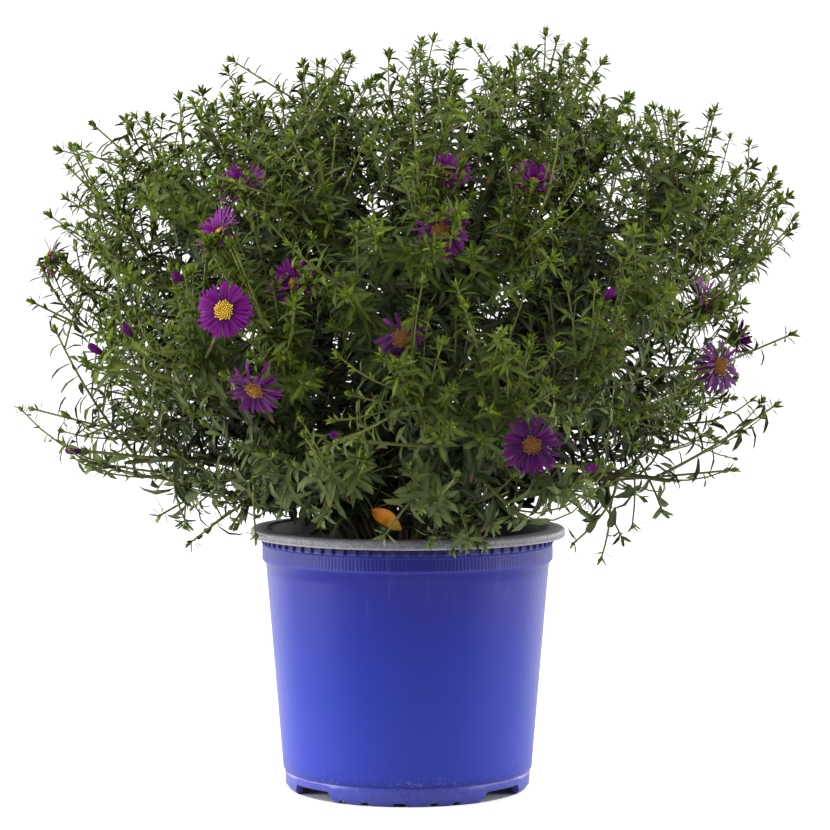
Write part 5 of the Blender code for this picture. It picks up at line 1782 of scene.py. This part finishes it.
# %% Leaves along the twigs
ALONG = (
    (outer_stems, outer_ends, (0.10, 0.88, 0.0040), (0.0180, 0.0105), (0.0032, 0.0023), (42, 85),
     (0.5, 1.5), (0.62, 0.24), SMALL, LEAF_LOW),
    (inner_stems, inner_ends, (0.05, 0.95, 0.0045), (0.0255, 0.0180), (0.0050, 0.0037), (45, 90),
     (0.5, 1.5), (0.90, 0.60), SMALL, LEAF_LOW),
    (twig_stems, twig_ends, (0.10, 0.94, 0.0038), (0.0275, 0.0150), (0.0050, 0.0031), (45, 88),
     (0.6, 1.6), (0.90, 0.40), MEDIUM, TWIG_LOW),
    (main, stem_ends, (0.05, 0.96, 0.0033), (0.0350, 0.0235), (0.0068, 0.0050), (50, 95),
     (0.7, 1.7), (1.0, 0.70), LARGE, LEAF_LOW),
    (stalk_stems, stalk_ends, (0.15, 0.95, 0.0050), (0.0180, 0.0080), (0.0042, 0.0022), (35, 75),
     (0.3, 1.1), (0.70, 0.25), SMALL, LEAF_LOW),
)
TUFTS = ((-0.5, 30), (0.5, 55))
TUFT_WIDTH = 0.27
NEXT_CURVE = 1.7


def leaves_along(owners, ends, places, lengths, widths, stand, bend, ages, rings, lowest):
    """One leaf each spacing along curves. Lengths, widths and ages run from the foot to the tip."""
    index, step, share = steps_along(ends, *places)
    copies = len(index)
    place, ahead = on_curves(ends, index, share)
    turn = step * GOLDEN_ANGLE + NEXT_CURVE * index + random.normal(0, 0.2, copies)
    age = np.clip(np.interp(share, (0, 1), ages) + random.normal(0, 0.08, copies), 0, 1)
    size = random.uniform(0.72, 1.15, copies)
    return add_leaves(owners[index], place, ahead, turn, np.radians(random.uniform(*stand, copies)),
                      size * np.interp(share, (0, 1), lengths), size * np.interp(share, (0, 1), widths),
                      random.uniform(*bend, copies), age, rings, lowest)


def tufts_along(owners, ends, places, size):
    """Tufts of two tiny leaves at the feet of the leaves along a twig."""
    index, step, share = steps_along(ends, *places)
    place, ahead = on_curves(ends, index, share)
    copies = len(index)
    made = 0
    for offset, lean in TUFTS:
        turn = step * GOLDEN_ANGLE + NEXT_CURVE * index + offset
        stand = np.radians(lean + random.normal(0, 10, copies))
        length = random.uniform(0.6, 1.2, copies) * size
        bend, age = random.uniform(0.2, 0.9, copies), random.uniform(0.05, 0.35, copies)
        made += add_leaves(owners[index], place, ahead, turn, stand, length, TUFT_WIDTH * length, bend, age,
                           TINY, fold=0)
    return made


count = sum(leaves_along(*row) for row in ALONG)
count += tufts_along(outer_stems, outer_ends, (0.20, 0.84, 0.0110), 0.0060)
count += tufts_along(twig_stems, twig_ends, (0.20, 0.92, 0.0100), 0.0068)
print(count, "leaves along the twigs")

# %% [markdown]
# ## Leaves across the blooms
# Most blooms are half hidden: leaves from the twigs beside them lie across their rays. Each such leaf
# starts on a twig near a bloom and aims at a place a little before its rays. How many cross a bloom
# follows the photograph.

# %% Leaves across the blooms
CROSSINGS = (1, 12, 12, 13, 12, 9, 6, 6, 6, 8) + (10, 10, 10, 9, 10, 12, 5) + (1,) * 8
CROSSING_ROOM = (0.005, 0.017)
CROSSING_DEPTHS = (-0.010, 0.018)
CROSSING_LENGTHS = (0.006, 0.0165)
AIM_AHEAD = 0.005
AIM_ROOM = (0.0045, 0.0125)

all_ends = np.concatenate([outer_ends, inner_ends, twig_ends, stalk_ends])
all_stems = np.concatenate([outer_stems, inner_stems, twig_stems, stalk_stems])
index, _, share = steps_along(all_ends, 0.1, 1.0, 0.003)
place, _ = on_curves(all_ends, index, share)
made = 0
for (centre, look), count in zip(heads, CROSSINGS):
    apart = place - centre
    along = apart @ look
    off = np.linalg.norm(apart - along[:, None] * look, axis=1)
    near = (off > CROSSING_ROOM[0]) & (off < CROSSING_ROOM[1])
    near &= (along > CROSSING_DEPTHS[0]) & (along < CROSSING_DEPTHS[1])
    chosen = random.permutation(np.flatnonzero(near))[:count]
    copies = len(chosen)
    if copies == 0:
        continue
    across = random.normal(0, 1, (copies, 3))
    across = unit(across - (across @ look)[:, None] * look)
    run = centre + AIM_AHEAD * look + random.uniform(*AIM_ROOM, copies)[:, None] * across - place[chosen]
    length = np.clip(np.linalg.norm(run, axis=1) * random.uniform(0.9, 1.25, copies), *CROSSING_LENGTHS)
    lead = unit(run)
    face = unit(look - (lead @ look)[:, None] * lead)
    bend, age = random.uniform(0.3, 1.1, copies), random.uniform(0.12, 0.6, copies)
    points, growth = blades(place[chosen], lead, face, length, 0.0012 + 0.15 * length, bend, age, MEDIUM)
    add_part(all_stems[index[chosen]], points, len(MEDIUM), 4, 0, growth)
    made += copies
print(made, "leaves lie across blooms")

# %% [markdown]
# ## Green cups
# A bloom sits on a small green cup, wrapped in narrow scales whose points curl outwards. The cup is a
# short tube on the bloom's axis, and the scales are tiny blades at the golden angle.

# %% Green cups
SCALES = 22
SCALE_LENGTH = 0.0042
SCALE_WIDTH = 0.0011
SCALES_UP_TO = 0.7
CUP_SIDES = 12
CUP_GROWTH = (0.35, 0.2, 0.0)
CUP_RISE = np.array((0.0, 0.25, 0.6, 0.9, 1.0))
CUP_WIDE = np.array((0.0011, 0.0029, CUP_RADIUS, 0.0036, 0.0030))
BUD_CUP = 0.62

looks = np.array([look for *_, look in stalks])
small = np.array([1.0] * (len(stalks) - len(BUDS)) + [BUD_CUP] * len(BUDS))
paths = cups + (CUP_RISE * CUP_HEIGHT)[None, :, None] * looks[:, None]
points = tubes(paths, small[:, None] * CUP_WIDE, CUP_SIDES)
add_part(stalk_stems, points, len(CUP_RISE), CUP_SIDES, 0, CUP_GROWTH)
order = np.tile(np.arange(SCALES), len(stalks))
index = np.repeat(np.arange(len(stalks)), SCALES)
level = order / SCALES * SCALES_UP_TO
out = around(looks[index], order * GOLDEN_ANGLE, SKEW_LEAF)
radius = small[index] * np.interp(level, CUP_RISE, CUP_WIDE)
place = cups[index, 0] + (level * CUP_HEIGHT)[:, None] * looks[index] + radius[:, None] * out
lead, face = leaning(looks[index], out, np.radians(random.uniform(14, 34, len(index))))
bend, age = random.uniform(0.3, 1.1, len(index)), random.uniform(0.15, 0.5, len(index))
width = np.full(len(index), SCALE_WIDTH)
points, growth = blades(place, lead, face, SCALE_LENGTH * small[index], width, bend, age, TINY)
add_part(stalk_stems[index], points, len(TINY), 4, 0, growth)
print(len(index), "scales on", len(stalks), "cups")

# %% [markdown]
# ## One piece for each leafy stem
# Everything that belongs to a main stem, its twigs, side twigs, leaves and cups, is one mesh that
# stands for that stem's solid.

# %% Leafy stems
total = 0
for stem in stems:
    heap = Heap()
    for owners, points, (loops, sizes), finish, growth, tint in parts:
        own = owners == stem.number
        if own.any():
            heap.add(points[own], loops, sizes, finish, growth[own], tint[own])
    number = f"{stem.number + 1:02d}"
    heap.make("leafy_" + number, (leaf_green, stem_bark), "aster_green", "leafy_stem_" + number)
    total += heap.triangles()
print("leafy stems have", total, "triangles")

# %% [markdown]
# ## Open blooms
# An open aster has some forty narrow rays in two whorls round a dome of tiny tubular florets. A ray
# is the same blade as a leaf, blunter at its end. The florets follow the golden angle too: floret n
# lies at an angle of n times it, and at a distance that grows with the square root of n.

# %% Open blooms
BLUNT = ((0.12, 0.50), (0.40, 0.92), (0.70, 1.0), (0.90, 0.80), (0.975, 0.42))
RAY_WIDTH = 0.0015
OPEN_BASE = 0.0036
OPEN_LONGER = (0.0014, 0.002)
DISC_RADIUS = 0.004048
DISC_DOME = 0.0013
FLORETS = 72
FLORET_LENGTH = 0.0022
FLORET_STEPS = np.array((0.0, 0.45, 0.8, 1.0))
FLORET_RADIUS = 0.00036
FLORET_SIDES = 5
BUTTON_SIDES = 14
OPEN_BUTTON = ((-GAP, 0.0003, 0.0007), (0.0030, 0.0042, 0.0036))
DISC_BUTTON = ((0.0007, 0.0011, 0.0018, 0.0022), (0.0030, 0.0038, 0.0028, 0.0010))
OPEN_LOOKS = (
    (62, 8, 0.0, 0.10), (44, 18, 0.3, 0.75), (40, 20, 0.9, 1.0), (44, 18, 0.4, 0.6), (46, 18, 0.3, 0.9),
    (38, 20, 0.4, 0.8), (52, 8, 0.1, 0.3), (46, 12, 0.1, 0.5), (50, 10, 0.1, 0.2), (44, 12, 0.2, 0.2),
)


def whorl(centre, look, turns, base, lift, lean, length, width, bend, age, hang=0.0):
    """Rays round an axis. Each value is one number for each ray. hang pulls them down."""
    out = around(look, turns, SKEW_BLOOM)
    root = centre + base * out + lift[:, None] * look
    lead, face = leaning(look, out, lean)
    lead = unit(lead - (0.0, 0.0, hang))
    face = unit(face - (face * lead).sum(1, keepdims=True) * lead)
    return blades(root, lead, face, length, width, bend, age, BLUNT, thick=0.00025, fold=-0.18)


def add_rays(heap, centre, look, count, base, length, angle, spread, hang=0.0, age=0.0):
    """Two whorls of rays, the upper one a little shorter and steeper."""
    order = np.arange(count)
    upper = order % 2
    turns = 2 * math.pi * (order + random.normal(0, 0.30, count)) / count
    lean = np.radians(angle - 5 * upper + random.normal(0, spread, count))
    size = length * (1 - 0.07 * upper) * random.uniform(0.88, 1.06, count)
    width = RAY_WIDTH * (1 + 0.02 * spread) * random.uniform(0.8, 1.12, count)
    bend = random.uniform(0.1, 0.5 + 0.05 * spread, count)
    ages = np.clip(age + random.uniform(0, 0.5, count) ** 2, 0, 1)
    lift = 0.0003 + 0.0005 * upper
    points, growth = whorl(centre, look, turns, base, lift, lean, size, width, bend, ages, hang)
    heap.add(points, *spindle(len(BLUNT), 4), 0, growth, random.random_sample(count))


def add_button(heap, centre, look, section, age, sides=BUTTON_SIDES):
    """A small closed dome on an axis, from its heights on the axis and its radii."""
    heights, radii = np.array(section)
    paths = (centre + heights[:, None] * look)[None]
    points = tubes(paths, radii[None], sides, cap=0.1)
    heap.add(points, *spindle(len(radii), sides), 0, (age, 0.1, 0.0), 0.5)


def add_florets(heap, centre, look, count, radius, dome, length, age, finish):
    """Tubes that stand on a dome, closed buds in its middle and flared ones round its edge."""
    order = np.arange(count)
    share = np.sqrt((order + 0.5) / count)
    out = around(look, order * GOLDEN_ANGLE, SKEW_BLOOM)
    root = centre + (radius * share)[:, None] * out + (dome * (1 - share ** 2))[:, None] * look
    ahead = unit(look + 0.75 * (share ** 2)[:, None] * out)
    size = length * random.uniform(0.85, 1.15, count) * (0.75 + 0.35 * share)
    paths = root[:, None] + (size[:, None] * FLORET_STEPS)[..., None] * ahead[:, None]
    flare = np.stack([0.9 + 0 * share, 0.95 + 0.1 * share, 0.95 + 0.5 * share, 0.55 + 0.55 * share], axis=1)
    points = tubes(paths, FLORET_RADIUS * flare, FLORET_SIDES)
    along = np.concatenate([[0.0], np.repeat(FLORET_STEPS, FLORET_SIDES), [1.0]])
    ages = np.clip(age + 0.25 * (share - 0.5) + random.normal(0, 0.08, count), 0, 1)
    growth = over_corners(points.shape[:2], ages[:, None], along, 0.0)
    faces = spindle(len(FLORET_STEPS), FLORET_SIDES)
    heap.add(points, *faces, finish, growth, random.random_sample(count))


for number, (head, form, (_, _, _, centre, look)) in enumerate(zip(OPEN_BLOOMS, OPEN_LOOKS, stalks), 1):
    rays = Heap()
    count, mess, hang, age = form
    length = head[5] + OPEN_LONGER[0] + OPEN_LONGER[1] * hang
    add_rays(rays, centre, look, count, OPEN_BASE, length, head[6], mess, hang, 0.8 * age)
    add_button(rays, centre, look, OPEN_BUTTON, 0.3)
    rays.make(f"rays_{number:02d}", (violet_ray,), "violet_rays", f"bloom_{number:02d}_rays")
    disc = Heap()
    add_button(disc, centre, look, DISC_BUTTON, age)
    add_florets(disc, centre, look, FLORETS, DISC_RADIUS, DISC_DOME, FLORET_LENGTH, age, 0)
    disc.make(f"florets_{number:02d}", (gold_floret,), "gold_disc", f"bloom_{number:02d}_disc")
print(rays.triangles(), "triangles in a bloom's rays,", disc.triangles(), "in its disc")

# %% [markdown]
# ## Half-open blooms and buds
# On a half-open bloom the rays still stand steeply round the disc, in an outer and a shorter inner
# whorl. A bud is a tight bundle of rolled rays whose points open a little, so both are made with the
# same helpers as the open blooms.

# %% Half-open blooms
CUP_WHORLS = ((40, 0.0032, 1.0, 0.0016, 1.0), (18, 0.0022, 0.75, 0.0, 0.55))
CUP_MESS = 6
CUP_BUTTON = ((-GAP, 0.0004, 0.0012), (0.0028, 0.0040, 0.0028))
CUP_FLORETS = (34, 0.0026, 0.0010, 0.0017, 0.3)

for number, (head, (_, _, _, centre, look)) in enumerate(zip(CUP_BLOOMS, stalks[len(OPEN_BLOOMS):]), 11):
    rays = Heap()
    for count, base, size, longer, angle in CUP_WHORLS:
        add_rays(rays, centre, look, count, base, size * head[5] + longer, angle * head[6], CUP_MESS)
    add_button(rays, centre, look, CUP_BUTTON, 0.3)
    add_florets(rays, centre, look, *CUP_FLORETS, 1)
    rays.make(f"rays_{number:02d}", (violet_ray, gold_floret), "violet_rays", f"bloom_{number:02d}_rays")
print(rays.triangles(), "triangles in a half-open bloom")

# %% Buds
BUD_RAYS = 14
BUD_BASE = 0.0009
BUD_RAY_WIDTH = 0.0021
BUD_LEANS = (22, 18)
BUD_BUTTON = ((-GAP, 0.0012, 0.0034, 0.0064, 0.0087), (0.0012, 0.0019, 0.0021, 0.0017, 0.0009))
BUD_BUTTON_SIDES = 10

order = np.arange(BUD_RAYS)
inner = order / (BUD_RAYS - 1.0)
for number, (_, _, _, centre, look) in enumerate(stalks[-len(BUDS):], 1):
    bud = Heap()
    points, growth = whorl(centre, look, order * GOLDEN_ANGLE, BUD_BASE, 0 * inner,
                           np.radians(BUD_LEANS[0] - BUD_LEANS[1] * inner),
                           BUD_LENGTH * (0.88 + 0.1 * inner), np.full(BUD_RAYS, BUD_RAY_WIDTH),
                           0.3 * inner - 0.55, 0.1 + 0.3 * (1 - inner))
    bud.add(points, *spindle(len(BLUNT), 4), 0, growth, 0.6 + 0.4 * random.random_sample(BUD_RAYS))
    add_button(bud, centre, look, BUD_BUTTON, 0.0, BUD_BUTTON_SIDES)
    bud.make(f"opening_bud_{number:02d}", (violet_ray,), "violet_rays", f"bud_{number:02d}")
print(bud.triangles(), "triangles in a bud")

# %% [markdown]
# ## The withered leaf
# One yellow leaf hangs in front over the soil. It is seen from near and alone, so it has more corners
# than the green ones: a grid whose columns run along the leaf and whose rows go round it, curled
# along its length and cupped across it.

# %% Withered leaf
LEAF_PLACES = 22
LEAF_ROUND = 16
LEAF_STALK_PLACES = 8
LEAF_STALK_SIDES = 5
LEAF_STALK_RADIUS = 0.0004
LEAF_BOW = 0.0022
LEAF_WAVE = 0.0010
LEAF_HALF = 0.56
LEAF_CUP = 0.45
LEAF_RIPPLE = 0.00045
LEAF_THICK = 0.00035

share = np.linspace(0.0, 1.0, LEAF_PLACES + 2)[1:-1]
run = YELLOW_LEAF_TIP - YELLOW_LEAF_TOP
across = unit(np.cross(run, (0.0, -1.0, 0.3)))
out = unit(np.cross(across, run))
bow = LEAF_BOW * np.sin(math.pi * share) - LEAF_WAVE * np.sin(3 * math.pi * share)
middle = YELLOW_LEAF_TOP + share[:, None] * run + bow[:, None] * out
half = LEAF_HALF * YELLOW_LEAF_WIDTH * np.sin(math.pi * share ** 0.85) ** 0.75
turn = 2 * math.pi * np.arange(LEAF_ROUND) / LEAF_ROUND
wide, thick = np.cos(turn), np.sin(turn)
cupped = LEAF_CUP * wide ** 2 * half[:, None] + LEAF_RIPPLE * np.sin(9 * share)[:, None] * wide
# Round the leaf by an angle: half its width times the cosine across, half its thickness times the
# sine outwards, and a cup that grows with the square of the distance from the midrib.
rows = middle[:, None] - (half[:, None] * wide)[..., None] * across \
    + (cupped + LEAF_THICK * thick)[..., None] * out
points = np.concatenate([[YELLOW_LEAF_TOP], rows.reshape(-1, 3), [YELLOW_LEAF_TIP]])[None]
along = np.concatenate([[0.0], np.repeat(share, LEAF_ROUND), [1.0]])
midrib = np.concatenate([[0.5], np.tile(1 - np.abs(wide), LEAF_PLACES), [0.5]])
heap = Heap()
growth = over_corners(points.shape[:2], 0.0, along, midrib)
heap.add(points, *spindle(LEAF_PLACES, LEAF_ROUND), 0, growth, 0.5)
seat = min((stem.ends[0] for stem in stems), key=lambda place: np.linalg.norm(place - YELLOW_LEAF_TOP))
bend = 0.5 * (seat + YELLOW_LEAF_TOP) + (0, 0, 0.02)
path = paths_of(np.array([[seat + (0, 0, 0.012), bend, YELLOW_LEAF_TOP]]), LEAF_STALK_PLACES)
points = tubes(path, np.full((1, LEAF_STALK_PLACES), LEAF_STALK_RADIUS), LEAF_STALK_SIDES)
heap.add(points, *spindle(LEAF_STALK_PLACES, LEAF_STALK_SIDES), 0, (0.0, 0.1, 0.5), 0.5)
heap.make("dry_leaf", (withered,), "withered_yellow", "withered_leaf")
print("withered leaf has", heap.triangles(), "triangles")
